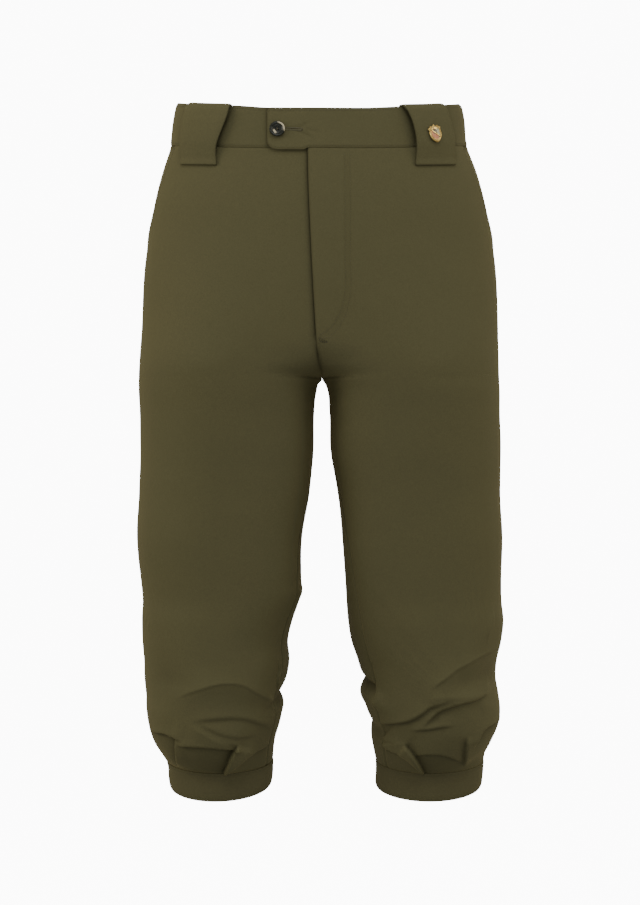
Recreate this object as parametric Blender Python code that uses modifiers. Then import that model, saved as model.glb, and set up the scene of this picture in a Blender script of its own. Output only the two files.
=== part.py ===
"""Knee breeches, filled out as if worn: a hollow cloth form, open at the waist and at both knee cuffs.

Metres, +Z up. The front faces -Y and the wearer's left is +X. The origin is the middle of the waist, half
way up the waistband, where the wearer holds the breeches up.

A point on the cloth is named by its side (RIGHT or LEFT of the wearer), its half (FRONT or BACK), its level
and its reach. The level is its height before the waist and the cuffs are tilted. The reach is the distance
along the cloth from the middle seam, which is the centre seam above the crotch and the inseam below it,
outwards to the side seam.
"""

from collections import namedtuple
from math import cos, pi, radians, sin

import bmesh
import bpy
import numpy as np
from mathutils import Matrix, Vector

RIGHT, LEFT = -1, 1
FRONT, BACK = -1, 1
SIDE_NAMES = {RIGHT: "right", LEFT: "left"}
HALF_NAMES = {FRONT: "front", BACK: "back"}

# ------------------------------------------------------------------ driving dimensions
CLOTH = 0.0018  # one panel's wall
BAND_CLOTH = 0.0026  # the doubled cloth of the waistband and the cuffs
SEAM_GAP = 0.0005  # between two pieces at a seam
BAND_GAP = 0.0008  # between the waistband or a cuff and the panels sewn to it
CLEARANCE = 0.0005  # between a piece and the one that it lies on

BAND_TOP = 0.0255
BAND_FOOT = -0.0195
CROTCH = -0.2770
CUFF_TOP = -0.6920
CUFF_FOOT = -0.7184
BAND_LIFT = 0.0007  # how far the waistband and the cuffs stand proud of the panels

WAIST_DEPTH = 0.112
WAIST_SLOPE = 0.0120  # how much higher the waist is at the back than at its sides, for its slope
WAIST_DIP = 0.0060  # and how much lower it is both front and back, for its curve
WAIST_TILT_FOOT = -0.1500
CUFF_SLOPE = 0.2030
HEM_SLOPE = 0.3000  # the slope at the cuff's foot
CUFF_MIDDLE = 0.0090
CUFF_TILT_TOP = -0.5500
CUFF_TILT_FULL = -0.6600

FLY_TOP_WIDTH = 0.0130  # the left front's overlap past the centre, at the waistband
FLY_FOOT_WIDTH = 0.0040
FLY_FOOT = -0.2380
FLY_FADE = 0.0240  # how far below the fly the left front takes to lie level with the right
FLY_RAMP = 0.0120  # how far the left front takes to rise over the right

TAB_TIP = 0.0560  # the waistband's end, past the centre front
TAB_DROP = 0.0022  # how far its foot hangs below the seam
TAB_TOP_CORNER = 0.0050
TAB_FOOT_CORNER = 0.0110

POCKET_SET = 0.0460  # the pocket's edge ahead of the side seam, at the waistband
POCKET_END_SET = 0.0060
POCKET_FOOT = -0.1370
FACING_UNDERLAP = 0.0150
FACING_DROP = 0.0031  # how far its strip lies in from the form, under the front

# The breeches' form, a row for each level. right_out and left_out are the side seams' distances from the
# middle, right_in and left_in the inseams', front and back the depths from the side seams' plane, and
# power is the roundness of the section: 2 is an ellipse, and more is squarer.
Station = namedtuple("Station", "level right_out right_in left_in left_out front back power")
FORM = [
    Station(0.0255, 0.1570, 0.0, 0.0, 0.1550, 0.104, 0.108, 2.65),
    Station(-0.021, 0.1640, 0.0, 0.0, 0.1616, 0.110, 0.117, 2.60),
    Station(-0.046, 0.1720, 0.0, 0.0, 0.1711, 0.1135, 0.126, 2.55),
    Station(-0.079, 0.1807, 0.0, 0.0, 0.1805, 0.1173, 0.136, 2.50),
    Station(-0.123, 0.1880, 0.0, 0.0, 0.1887, 0.1207, 0.146, 2.45),
    Station(-0.167, 0.1932, 0.0, 0.0, 0.1933, 0.1228, 0.151, 2.40),
    Station(-0.211, 0.1950, 0.0, 0.0, 0.1946, 0.1232, 0.151, 2.35),
    Station(-0.277, 0.1990, 0.0, 0.0, 0.1966, 0.1207, 0.141, 2.30),
    Station(-0.288, 0.1990, 0.0036, 0.0074, 0.1971, 0.1197, 0.138, 2.28),
    Station(-0.310, 0.1980, 0.0060, 0.0103, 0.1974, 0.1171, 0.132, 2.25),
    Station(-0.354, 0.1974, 0.0068, 0.0115, 0.1987, 0.1127, 0.121, 2.22),
    Station(-0.400, 0.1990, 0.0114, 0.0192, 0.1981, 0.108, 0.110, 2.20),
    Station(-0.453, 0.2011, 0.0202, 0.0248, 0.2003, 0.104, 0.102, 2.20),
    Station(-0.497, 0.1967, 0.0208, 0.0282, 0.1988, 0.100, 0.097, 2.20),
    Station(-0.519, 0.1947, 0.0231, 0.0295, 0.1990, 0.098, 0.096, 2.18),
    Station(-0.541, 0.1956, 0.0303, 0.0310, 0.2013, 0.097, 0.095, 2.15),
    Station(-0.563, 0.1950, 0.0352, 0.0342, 0.1988, 0.095, 0.095, 2.15),
    Station(-0.585, 0.1930, 0.0336, 0.0417, 0.1936, 0.093, 0.095, 2.15),
    Station(-0.601, 0.1927, 0.0362, 0.0450, 0.1930, 0.092, 0.096, 2.12),
    Station(-0.618, 0.1910, 0.0420, 0.0460, 0.1962, 0.090, 0.096, 2.10),
    Station(-0.634, 0.1896, 0.0405, 0.0505, 0.1982, 0.088, 0.096, 2.10),
    Station(-0.646, 0.1884, 0.0425, 0.0545, 0.1974, 0.085, 0.095, 2.10),
    Station(-0.668, 0.1825, 0.0486, 0.0562, 0.1890, 0.075, 0.089, 2.05),
    Station(-0.684, 0.1730, 0.0508, 0.0590, 0.1818, 0.061, 0.079, 2.00),
    Station(-0.6945, 0.1672, 0.0515, 0.0610, 0.1803, 0.052, 0.069, 2.00),
    Station(-0.709, 0.1655, 0.0522, 0.0610, 0.1788, 0.049, 0.066, 2.00),
    Station(-0.7225, 0.1635, 0.0545, 0.0610, 0.1765, 0.047, 0.063, 2.00),
]
OUT = {RIGHT: "right_out", LEFT: "left_out"}
IN = {RIGHT: "right_in", LEFT: "left_in"}
DEPTH = {FRONT: "front", BACK: "back"}
CROTCH_RISE = {FRONT: 0.165, BACK: 0.230}  # how far above the crotch the groove between the legs ends
CROTCH_CURVE = 1.0
INNER_POWER = 0.8  # how much squarer the section's inner half is at the thighs
INSEAM_TURN = {RIGHT: radians(27), LEFT: radians(37)}  # how far in front of the leg's innermost line the inseam runs at the knee
INSEAM_TURN_FULL = -0.5400

# The largest folds. Each runs straight between two points of its panel, named by level and by share of the
# way from the middle seam to the side seam. A height above 0 is a ridge and below 0 is a trough.
Fold = namedtuple("Fold", "side half level share end_level end_share width height")
FOLDS = [
    Fold(RIGHT, FRONT, -0.633, 0.80, -0.612, 0.28, 0.016, 0.0035),
    Fold(RIGHT, FRONT, -0.656, 0.84, -0.650, 0.20, 0.012, -0.0040),
    Fold(RIGHT, FRONT, -0.674, 0.90, -0.672, 0.42, 0.010, 0.0045),
    Fold(RIGHT, FRONT, -0.692, 0.44, -0.662, 0.36, 0.009, -0.0050),
    Fold(RIGHT, FRONT, -0.692, 0.36, -0.664, 0.12, 0.009, 0.0040),
    Fold(LEFT, FRONT, -0.625, 0.48, -0.570, 0.97, 0.020, 0.0055),
    Fold(LEFT, FRONT, -0.645, 0.45, -0.602, 0.95, 0.013, -0.0050),
    Fold(LEFT, FRONT, -0.645, 0.10, -0.632, 0.60, 0.012, 0.0035),
    Fold(LEFT, FRONT, -0.692, 0.44, -0.664, 0.36, 0.009, -0.0050),
    Fold(LEFT, FRONT, -0.688, 0.36, -0.660, 0.06, 0.009, 0.0040),
    Fold(RIGHT, BACK, -0.590, 0.25, -0.610, 0.80, 0.022, -0.0050),
    Fold(RIGHT, BACK, -0.620, 0.20, -0.642, 0.82, 0.020, 0.0045),
    Fold(RIGHT, BACK, -0.660, 0.30, -0.662, 0.75, 0.013, -0.0040),
    Fold(LEFT, BACK, -0.584, 0.30, -0.606, 0.85, 0.022, -0.0050),
    Fold(LEFT, BACK, -0.616, 0.18, -0.640, 0.80, 0.020, 0.0045),
    Fold(LEFT, BACK, -0.658, 0.30, -0.660, 0.72, 0.013, -0.0040),
]

# The belt loops' outline and section. The four distances are those of the loop's edges from the middle, and
# a flare under 1 widens the loop high up. Each row of the section is a point of the loop's outer face: its
# level, and how far out it stands.
LoopEdges = namedtuple("LoopEdges", "inner_top inner_foot outer_top outer_foot flare")
FRONT_LOOPS = {
    RIGHT: LoopEdges(0.0948, 0.1092, 0.1400, 0.1490, 1.0),
    LEFT: LoopEdges(0.0850, 0.1008, 0.1310, 0.1450, 0.30),
}
BACK_LOOP_TOP = 0.0580
BACK_LOOP_FOOT = 0.0460
LOOP_CLOTH = 0.0018
LoopPoint = namedtuple("LoopPoint", "level stand")
LOOP_SECTION = [
    LoopPoint(0.0080, -0.0054),
    LoopPoint(0.0180, -0.0056),
    LoopPoint(0.0250, -0.0053),
    LoopPoint(0.0274, -0.0040),
    LoopPoint(0.0284, -0.0010),
    LoopPoint(0.0277, 0.0022),
    LoopPoint(0.0240, 0.0058),
    LoopPoint(0.0140, 0.0084),
    LoopPoint(0.0000, 0.0092),
    LoopPoint(-0.0150, 0.0084),
    LoopPoint(-0.0270, 0.0056),
    LoopPoint(-0.0345, 0.0036),
    LoopPoint(-0.0410, 0.0030),
]

BUTTON_RADIUS = 0.0084
BUTTON_PLACE = 0.0448  # past the centre front, on the tab
BUTTON_LEVEL = 0.0016
BUTTON_LENGTH = 0.0031
BUTTON_HOLE_RADIUS = 0.0009
BUTTON_HOLE_SET = 0.0019
# The button's half section: how far out and how high each point is, from the rim's foot over to the middle.
Turned = namedtuple("Turned", "radius height")
BUTTON_SECTION = [
    Turned(0.0, 0.0),
    Turned(0.0058, 0.0),
    Turned(0.0077, 0.0008),
    Turned(0.0084, 0.0018),
    Turned(0.0080, 0.0028),
    Turned(0.0071, 0.0031),
    Turned(0.0062, 0.0027),
    Turned(0.0054, 0.0020),
    Turned(0.0, 0.0017),
]

BADGE_WIDTH = 0.0160
BADGE_HEIGHT = 0.0205
BADGE_THICKNESS = 0.0014
BADGE_RIM = 0.0010
BADGE_LEVEL = -0.0052
BADGE_X = 0.1176
BADGE_LEAN = radians(9)

GRID_EDGE = 0.003


# ------------------------------------------------------------------ the form
def smoothstep(t):
    """0 up to t 0, 1 from t 1, and a smooth rise between them."""
    t = np.clip(t, 0.0, 1.0)
    return t * t * (3.0 - 2.0 * t)


def smooth_curve(at, knots, values):
    """A cubic Hermite curve through the values at the rising knots, read at the points at."""
    knots, values = np.asarray(knots, float), np.asarray(values, float)
    slopes = np.gradient(values, knots)
    i = np.clip(np.searchsorted(knots, at) - 1, 0, len(knots) - 2)
    span = knots[i + 1] - knots[i]
    t = np.clip((at - knots[i]) / span, 0.0, 1.0)
    return (
        values[i] * (1 + 2 * t) * (1 - t) ** 2
        + values[i + 1] * t * t * (3 - 2 * t)
        + span * t * (1 - t) * (slopes[i] * (1 - t) - slopes[i + 1] * t)
    )


def form(column, level):
    """One column of FORM, read between its rows."""
    rows = sorted(FORM)
    return smooth_curve(level, [row.level for row in rows], [getattr(row, column) for row in rows])


def plan_curve(side, half, level, count=160):
    """The section of one side's front or back, from the middle seam to the side seam, as x, y and length."""
    out, depth, power = form(OUT[side], level), form(DEPTH[half], level), form("power", level)
    rise = min(max(level - CROTCH, 0.0) / CROTCH_RISE[half], 1.0)
    groove = rise**CROTCH_CURVE * (1 + CROTCH_CURVE - CROTCH_CURVE * rise)
    inner = form(IN[side], level) if rise == 0 else -out * groove
    inner_power = power + INNER_POWER * smoothstep((-0.150 - level) / 0.110) * smoothstep((level + 0.600) / 0.150)
    centre, radius = (out + inner) / 2, (out - inner) / 2
    start = np.arccos(np.clip(max(centre, 0.0) / radius, 0.0, 1.0) ** (inner_power / 2)) if inner < 0 else 0.0
    turn = INSEAM_TURN[side] * smoothstep((CROTCH - level) / (CROTCH - INSEAM_TURN_FULL))
    angle = np.linspace(start - half * turn, pi, count)
    across, along = np.cos(angle), np.sin(angle)
    depths = np.where(along < 0, form(DEPTH[-half], level), depth)
    power = np.where(across > 0, inner_power, power)
    x = centre - radius * np.sign(across) * np.abs(across) ** (2 / power)
    y = half * depths * np.sign(along) * np.abs(along) ** (2 / power)
    x = x + SEAM_GAP / 2 * np.exp(-((x / GRID_EDGE) ** 2))
    length = np.concatenate([[0.0], np.cumsum(np.hypot(np.diff(x), np.diff(y)))])
    return x, y, length


def width(side, half, level):
    """The panel's width along the cloth at this level, from the middle seam to the side seam."""
    return plan_curve(side, half, level)[2][-1]


def tilt(level, y):
    """The height of a point of the form once the waist and the cuffs are tilted."""
    back = y / WAIST_DEPTH
    waist = smoothstep((level - WAIST_TILT_FOOT) / (BAND_TOP - WAIST_TILT_FOOT))
    cuff = smoothstep((CUFF_TILT_TOP - level) / (CUFF_TILT_TOP - CUFF_TILT_FULL))
    hem = np.clip((CUFF_TOP - level) / (CUFF_TOP - CUFF_FOOT), 0.0, 1.0)
    slope = CUFF_SLOPE + (HEM_SLOPE - CUFF_SLOPE) * hem
    return level + waist * (WAIST_SLOPE * back - WAIST_DIP * back**2) + cuff * slope * (y - CUFF_MIDDLE)


def cloth_row(side, half, level, reach, lift=0.0):
    """The points at these reaches along one level, lifted outwards off the form by lift.

    A reach below 0 carries on past the centre seam on to the other side.
    """
    reach, lift = np.broadcast_arrays(np.asarray(reach, float), lift)
    place, outward = np.zeros((len(reach), 2)), np.zeros((len(reach), 2))
    for each in (RIGHT, LEFT):
        here = (reach >= 0) == (each == side)
        x, y, length = plan_curve(each, half, level)
        tangent = np.gradient(np.stack([x, y], 1), length, axis=0)
        tangent /= np.linalg.norm(tangent, axis=1)[:, None]
        at = np.abs(reach[here])
        place[here] = np.stack([each * np.interp(at, length, x), np.interp(at, length, y)], 1)
        normal = np.stack([-half * each * tangent[:, 1], half * tangent[:, 0]], 1)
        outward[here] = np.stack([np.interp(at, length, normal[:, k]) for k in (0, 1)], 1)
    return np.column_stack([place + outward * lift[:, None], tilt(level, place[:, 1])])


def reach_at(side, half, level, x):
    """The reach of the point of the form at this distance from the middle."""
    curve_x, _, length = plan_curve(side, half, level)
    return float(np.interp(x, curve_x, length))


def fold_lift(side, half, level, reach, full):
    """How far the folds lift a row of the panel, from its distance to each fold's line."""
    lift = np.zeros(len(reach))
    for fold in FOLDS:
        if (fold.side, fold.half) != (side, half):
            continue
        start = np.array([fold.share * full, fold.level])
        run = np.array([fold.end_share * full, fold.end_level]) - start
        point = np.column_stack([reach, np.full(len(reach), level)]) - start
        along = np.clip(point @ run / (run @ run), 0.0, 1.0)
        away = np.linalg.norm(point - along[:, None] * run, axis=1)
        lift += fold.height * np.exp(-((away / fold.width) ** 2)) * np.sin(pi * (0.12 + 0.76 * along))
    return lift


# ------------------------------------------------------------------ making pieces
def material(name, colour, roughness, metallic=0.0):
    """A Principled material."""
    made = bpy.data.materials.new(name)
    made.use_nodes = True
    shader = made.node_tree.nodes["Principled BSDF"]
    shader.inputs["Base Color"].default_value = (*colour, 1.0)
    shader.inputs["Roughness"].default_value = roughness
    shader.inputs["Metallic"].default_value = metallic
    return made


def add_object(name, mesh, surface, collection):
    """Put a mesh in the scene as a named piece."""
    piece = bpy.data.objects.new(name, mesh)
    mesh.materials.append(surface)
    collection.objects.link(piece)
    return piece


def sheet(name, rows, wall, surface, collection, closed=False):
    """A cloth piece: a grid of points, skinned and given a wall on its inner side.

    rows holds each row's points from left to right as seen from outside, the top row first.
    """
    rows = np.asarray(rows)
    count, across = rows.shape[:2]
    mesh = bpy.data.meshes.new(name)
    grid = bmesh.new()
    verts = [[grid.verts.new(point) for point in row] for row in rows]
    for r in range(count - 1):
        for c in range(across if closed else across - 1):
            d = (c + 1) % across
            grid.faces.new((verts[r][c], verts[r + 1][c], verts[r + 1][d], verts[r][d]))
    grid.to_mesh(mesh)
    grid.free()
    piece = add_object(name, mesh, surface, collection)
    wall_modifier = piece.modifiers.new("wall", "SOLIDIFY")
    wall_modifier.thickness = wall
    wall_modifier.offset = -1.0
    wall_modifier.use_even_offset = False
    mesh.shade_smooth()
    return piece


def facing_out(side, half, row):
    """A row's points from left to right as seen from outside."""
    return row if side * half < 0 else row[::-1]


def columns(start, end, count, near=()):
    """Reaches from start to end: the near ones after start, even ones, and a narrow last column."""
    first = start + (near[-1] if near else 0.0)
    even = np.linspace(first, end - GRID_EDGE, count)
    return np.concatenate([[start + step for step in (0.0, *near[:-1])], even, [end]] if near else [even, [end]])


# ------------------------------------------------------------------ the pieces
def fly_width(level):
    """How far past the centre the left front reaches: nothing below the fly."""
    share = np.clip((BAND_FOOT - level) / (BAND_FOOT - FLY_FOOT), 0.0, 1.0)
    bow = share**1.5
    return FLY_TOP_WIDTH + (FLY_FOOT_WIDTH - FLY_TOP_WIDTH) * bow if level >= FLY_FOOT else -SEAM_GAP / 2


def fly_lift(level, reach):
    """How far the left front rises over the right one beside the fly."""
    ramp = 1.0 - smoothstep(reach / FLY_RAMP)
    return (CLOTH + CLEARANCE) * ramp * smoothstep(1.0 - (FLY_FOOT - level) / FLY_FADE)


def pocket_set(level):
    """How far ahead of the side seam the front's pocket edge is: nothing below the pocket."""
    if level < POCKET_FOOT:
        return SEAM_GAP / 2
    share = (BAND_FOOT - level) / (BAND_FOOT - POCKET_FOOT)
    return POCKET_SET + (POCKET_END_SET - POCKET_SET) * np.clip(share, 0.0, 1.0) ** 2.6


FRONT_LEVELS = (-0.046, -0.074, -0.098, -0.114, -0.126, POCKET_FOOT, POCKET_FOOT - 0.0015, -0.166, -0.194,
                -0.216, FLY_FOOT, FLY_FOOT - 0.0015, -0.248, -0.258, -0.268, CROTCH, -0.288, -0.308, -0.350, -0.400,
                -0.453, -0.497, -0.530, -0.558, -0.582, -0.602, -0.618, -0.632, -0.645, -0.656, -0.666,
                -0.675, -0.684)
BACK_LEVELS = (-0.055, -0.095, -0.140, -0.185, -0.220, -0.245, -0.264, CROTCH, -0.290, -0.310, -0.350,
               -0.400, -0.453, -0.497, -0.530, -0.560, -0.584, -0.602, -0.618, -0.634, -0.648, -0.660,
               -0.671, -0.683)


def panel(side, half, levels, count, surface, collection):
    """One of the four body and leg panels, from the waistband's seam to the cuff's."""
    rows = []
    for level in (BAND_FOOT - BAND_GAP, *levels, CUFF_TOP + BAND_GAP):
        full = width(side, half, level)
        overlapping = (side, half) == (LEFT, FRONT)
        start = -fly_width(level) if overlapping else SEAM_GAP / 2
        end = full - (pocket_set(level) if half == FRONT else SEAM_GAP / 2)
        step = max(-start, FLY_FOOT_WIDTH)
        near = (step / 2, step, step + FLY_RAMP / 2, step + FLY_RAMP) if overlapping else (GRID_EDGE,)
        reach = columns(start, end, count, near)
        lift = fold_lift(side, half, level, reach, full)
        if overlapping:
            lift = lift + fly_lift(level, reach)
        rows.append(facing_out(side, half, cloth_row(side, half, level, reach, lift)))
    name = f"{HALF_NAMES[half]}_{SIDE_NAMES[side]}"
    return sheet(name, rows, CLOTH, surface, collection)


def pocket_side(side, surface, collection):
    """The strip seen behind the pocket's edge: level with the back at the side seam, then under the front."""
    rows = []
    levels = (BAND_FOOT - BAND_GAP, *(level for level in FRONT_LEVELS if level > POCKET_FOOT))
    for level in (*levels, POCKET_FOOT + SEAM_GAP):
        full = width(side, FRONT, level)
        mouth = pocket_set(level)
        ramp = mouth - POCKET_END_SET / 3
        ahead = np.array([SEAM_GAP / 2, 0.2 * ramp, 0.45 * ramp, 0.7 * ramp, ramp, mouth + FACING_UNDERLAP])
        lift = -FACING_DROP * smoothstep(ahead / ramp)
        rows.append(facing_out(side, FRONT, cloth_row(side, FRONT, level, (full - ahead)[::-1], lift[::-1])))
    return sheet(f"pocket_side_{SIDE_NAMES[side]}", rows, CLOTH, surface, collection)


def tab_corner(away, radius):
    """How far a round corner of this radius has cut in, at this distance from the tab's tip."""
    return radius - (radius**2 - np.clip(radius - away, 0.0, radius) ** 2) ** 0.5


def waistband(side, surface, collection):
    """Half of the waistband, and on the left the tab that carries on past the fly to its button."""
    middle = (BAND_TOP + BAND_FOOT) / 2
    front, back = width(side, FRONT, middle), width(side, BACK, middle)
    ahead = [SEAM_GAP / 2, GRID_EDGE] if side == RIGHT else []
    if side == LEFT:
        tip = TAB_TIP - np.array([0.0, 0.0006, 0.0018, 0.0035, 0.0060, 0.0085, 0.0112])
        ahead = [*(-tip), -0.036, -0.024, -FLY_TOP_WIDTH - 0.0055, -FLY_TOP_WIDTH - SEAM_GAP,
                 -FLY_TOP_WIDTH / 2, 0.0, FLY_RAMP / 2, FLY_RAMP]
    behind = [SEAM_GAP / 2, GRID_EDGE, *np.linspace(0.02, 1.0, 10)[1:] * back]
    around = np.linspace(ahead[-1], front, 11)[1:-1]
    rows = []
    for share in (0.0, 0.34, 0.68, 1.0):
        front_reach = np.array([*ahead, *around])
        past = np.minimum(front_reach, 0.0)
        away = TAB_TIP + past
        drop = TAB_DROP * smoothstep((-past - FLY_TOP_WIDTH - SEAM_GAP) / 0.005)
        top = BAND_TOP - (tab_corner(away, TAB_TOP_CORNER) if side == LEFT else 0.0)
        foot = BAND_FOOT - drop + (tab_corner(away, TAB_FOOT_CORNER) if side == LEFT else 0.0)
        level = top + (foot - top) * share + np.zeros(len(front_reach))
        lift = BAND_LIFT + (BAND_CLOTH + CLEARANCE) * (1.0 - smoothstep(front_reach / FLY_RAMP)) * (side == LEFT)
        row = np.array([cloth_row(side, FRONT, one, [at], [up])[0]
                        for one, at, up in zip(level, front_reach, lift)])
        plain = BAND_TOP + (BAND_FOOT - BAND_TOP) * share
        back_full = width(side, BACK, plain)
        back_reach = np.array(behind) / behind[-1] * back_full
        back_row = cloth_row(side, BACK, plain, back_reach, BAND_LIFT)
        rows.append(facing_out(side, FRONT, np.concatenate([row, back_row[::-1]])))
    return sheet(f"waistband_{SIDE_NAMES[side]}", rows, BAND_CLOTH, surface, collection)


def cuff(side, surface, collection):
    """A closed band round the leg under the knee."""
    rows = []
    for level in (CUFF_TOP, (CUFF_TOP + CUFF_FOOT) / 2, CUFF_FOOT):
        front, back = width(side, FRONT, level), width(side, BACK, level)
        front_row = cloth_row(side, FRONT, level, np.linspace(0, front, 14), BAND_LIFT)
        back_row = cloth_row(side, BACK, level, np.linspace(0, back, 12), BAND_LIFT)
        ring = np.concatenate([front_row, back_row[-2:0:-1]])
        rows.append(facing_out(side, FRONT, ring))
    return sheet(f"cuff_{SIDE_NAMES[side]}", rows, BAND_CLOTH, surface, collection, closed=True)


def loop_share(point):
    """How far down the outside of a loop a point of its section is, from 0 at the top to 1 at the foot."""
    return float(np.clip((LOOP_SECTION[4].level - point.level) / (LOOP_SECTION[4].level - LOOP_SECTION[-1].level),
                         0.0, 1.0))


def front_loop(side, surface, collection):
    """A wide belt loop, folded over the waistband and standing off it for the belt."""
    edges = FRONT_LOOPS[side]
    rows = []
    for i, point in enumerate(LOOP_SECTION):
        share = loop_share(point) if i > 3 else 0.0
        inner = edges.inner_top + (edges.inner_foot - edges.inner_top) * smoothstep(1.15 * share) ** edges.flare
        outer = edges.outer_foot + (edges.outer_top - edges.outer_foot) * (1.0 - share)
        ends = [reach_at(side, FRONT, point.level, x) for x in (inner, outer)]
        reach = np.linspace(*ends, 5)
        rows.append(facing_out(side, FRONT, cloth_row(side, FRONT, point.level, reach, point.stand)))
    return sheet(f"belt_loop_front_{SIDE_NAMES[side]}", rows, LOOP_CLOTH, surface, collection)


def back_loop(surface, collection):
    """The same loop over the centre back seam."""
    rows = []
    for i, point in enumerate(LOOP_SECTION):
        share = loop_share(point) if i > 3 else 0.0
        half_width = (BACK_LOOP_TOP + (BACK_LOOP_FOOT - BACK_LOOP_TOP) * share) / 2
        reach = np.linspace(-half_width, half_width, 5)
        rows.append(cloth_row(RIGHT, BACK, point.level, reach, point.stand))
    return sheet("belt_loop_back", rows, LOOP_CLOTH, surface, collection)


def surface_frame(side, level, reach, lift):
    """A matrix whose origin is on the form and whose Z points straight out of it, with Y up the cloth."""
    step = 0.002
    here = cloth_row(side, FRONT, level, [reach], lift)[0]
    across = cloth_row(side, FRONT, level, [reach + step], lift)[0] - here
    up = cloth_row(side, FRONT, level + step, [reach], lift)[0] - here
    across = Vector(across).normalized() * (1 if side == LEFT else -1)
    if reach < 0:
        across = -across
    across = across if across.x > 0 else -across
    out = across.cross(Vector(up)).normalized()
    return Matrix.Translation(here) @ Matrix((across, out.cross(across), out)).transposed().to_4x4()


def button(surface, collection, cutters):
    """The waist button: a turned disc with a raised rim and four holes."""
    mesh = bpy.data.meshes.new("button_waist")
    outline = bmesh.new()
    points = [outline.verts.new((p.radius, 0.0, p.height)) for p in BUTTON_SECTION]
    for a, b in zip(points, points[1:]):
        outline.edges.new((b, a))
    outline.to_mesh(mesh)
    outline.free()
    place = surface_frame(LEFT, BUTTON_LEVEL, -BUTTON_PLACE, BAND_LIFT + BAND_CLOTH + 2 * CLEARANCE)
    piece = add_object("button_waist", mesh, surface, collection)
    piece.matrix_world = place
    turn = piece.modifiers.new("turn", "SCREW")
    turn.axis = "Z"
    turn.steps = turn.render_steps = 28
    turn.use_merge_vertices = True
    turn.merge_threshold = 0.00005
    turn.use_normal_flip = False
    for i in range(4):
        angle = pi / 4 + i * pi / 2
        bpy.ops.mesh.primitive_cylinder_add(vertices=12, radius=BUTTON_HOLE_RADIUS, depth=3 * BUTTON_LENGTH)
        hole = bpy.context.object
        hole.name = f"button_hole_{i + 1}"
        offset = Vector((cos(angle), sin(angle), 0.0)) * BUTTON_HOLE_SET
        hole.matrix_world = place @ Matrix.Translation(offset)
        for group in list(hole.users_collection):
            group.objects.unlink(hole)
        cutters.objects.link(hole)
        hole.hide_render = True
        hole.display_type = "WIRE"
        cut = piece.modifiers.new(hole.name, "BOOLEAN")
        cut.operation = "DIFFERENCE"
        cut.object = hole
    return piece


def shield_outline(width_m, height_m, count=7):
    """A plain shield's outline, anticlockwise from its top right corner: flat top, straight then curved in."""
    half = width_m / 2
    straight = 0.42 * height_m
    curve = height_m - straight
    turn = np.linspace(0.0, 1.0, count)
    left = [(-half * cos(t * pi / 2), height_m / 2 - straight - curve * sin(t * pi / 2)) for t in turn]
    right = [(-x, y) for x, y in left[-2::-1]]
    return [(half, height_m / 2), (-half, height_m / 2), *left, *right]


def badge(surface, collection):
    """A plain metal shield with a raised rim, lying on the left front loop."""
    point = LOOP_SECTION[8]
    reach = reach_at(LEFT, FRONT, BADGE_LEVEL, BADGE_X)
    place = surface_frame(LEFT, BADGE_LEVEL, reach, point.stand + 2 * CLEARANCE)
    mesh = bpy.data.meshes.new("badge_shield")
    shape = bmesh.new()
    outline = shield_outline(BADGE_WIDTH, BADGE_HEIGHT)
    face = shape.faces.new([shape.verts.new((x, y, 0.0)) for x, y in outline])
    raised = bmesh.ops.extrude_face_region(shape, geom=[face])
    bmesh.ops.translate(shape, vec=(0.0, 0.0, BADGE_THICKNESS),
                        verts=[v for v in raised["geom"] if isinstance(v, bmesh.types.BMVert)])
    front_face = next(f for f in raised["geom"] if isinstance(f, bmesh.types.BMFace))
    bmesh.ops.inset_region(shape, faces=[front_face], thickness=BADGE_RIM, depth=-BADGE_RIM / 2)
    bmesh.ops.recalc_face_normals(shape, faces=shape.faces)
    shape.to_mesh(mesh)
    shape.free()
    piece = add_object("badge_shield", mesh, surface, collection)
    piece.matrix_world = place @ Matrix.Rotation(BADGE_LEAN, 4, "Z")
    return piece


def main():
    """Clear the scene and build every piece."""
    for old in list(bpy.data.objects):
        bpy.data.objects.remove(old, do_unlink=True)
    parts = bpy.data.collections.new("knee_breeches")
    cutters = bpy.data.collections.new("cutters")
    for collection in (parts, cutters):
        bpy.context.scene.collection.children.link(collection)

    olive = (0.083, 0.072, 0.034)
    for side in (RIGHT, LEFT):
        name = SIDE_NAMES[side]
        panel(side, FRONT, FRONT_LEVELS, 12, material(f"olive cloth, front {name}", olive, 0.85), parts)
        panel(side, BACK, BACK_LEVELS, 12, material(f"olive cloth, back {name}", olive, 0.85), parts)
        pocket_side(side, material(f"olive cloth, pocket {name}", olive, 0.85), parts)
        waistband(side, material(f"olive cloth, waistband {name}", olive, 0.85), parts)
        cuff(side, material(f"olive cloth, cuff {name}", (0.055, 0.045, 0.020), 0.85), parts)
        front_loop(side, material(f"olive cloth, belt loop {name}", olive, 0.85), parts)
    back_loop(material("olive cloth, belt loop back", olive, 0.85), parts)
    button(material("dark horn", (0.050, 0.035, 0.022), 0.30), parts, cutters)
    badge(material("gilt metal", (0.55, 0.38, 0.12), 0.35, 1.0), parts)


main()
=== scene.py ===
from collections import namedtuple

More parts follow.
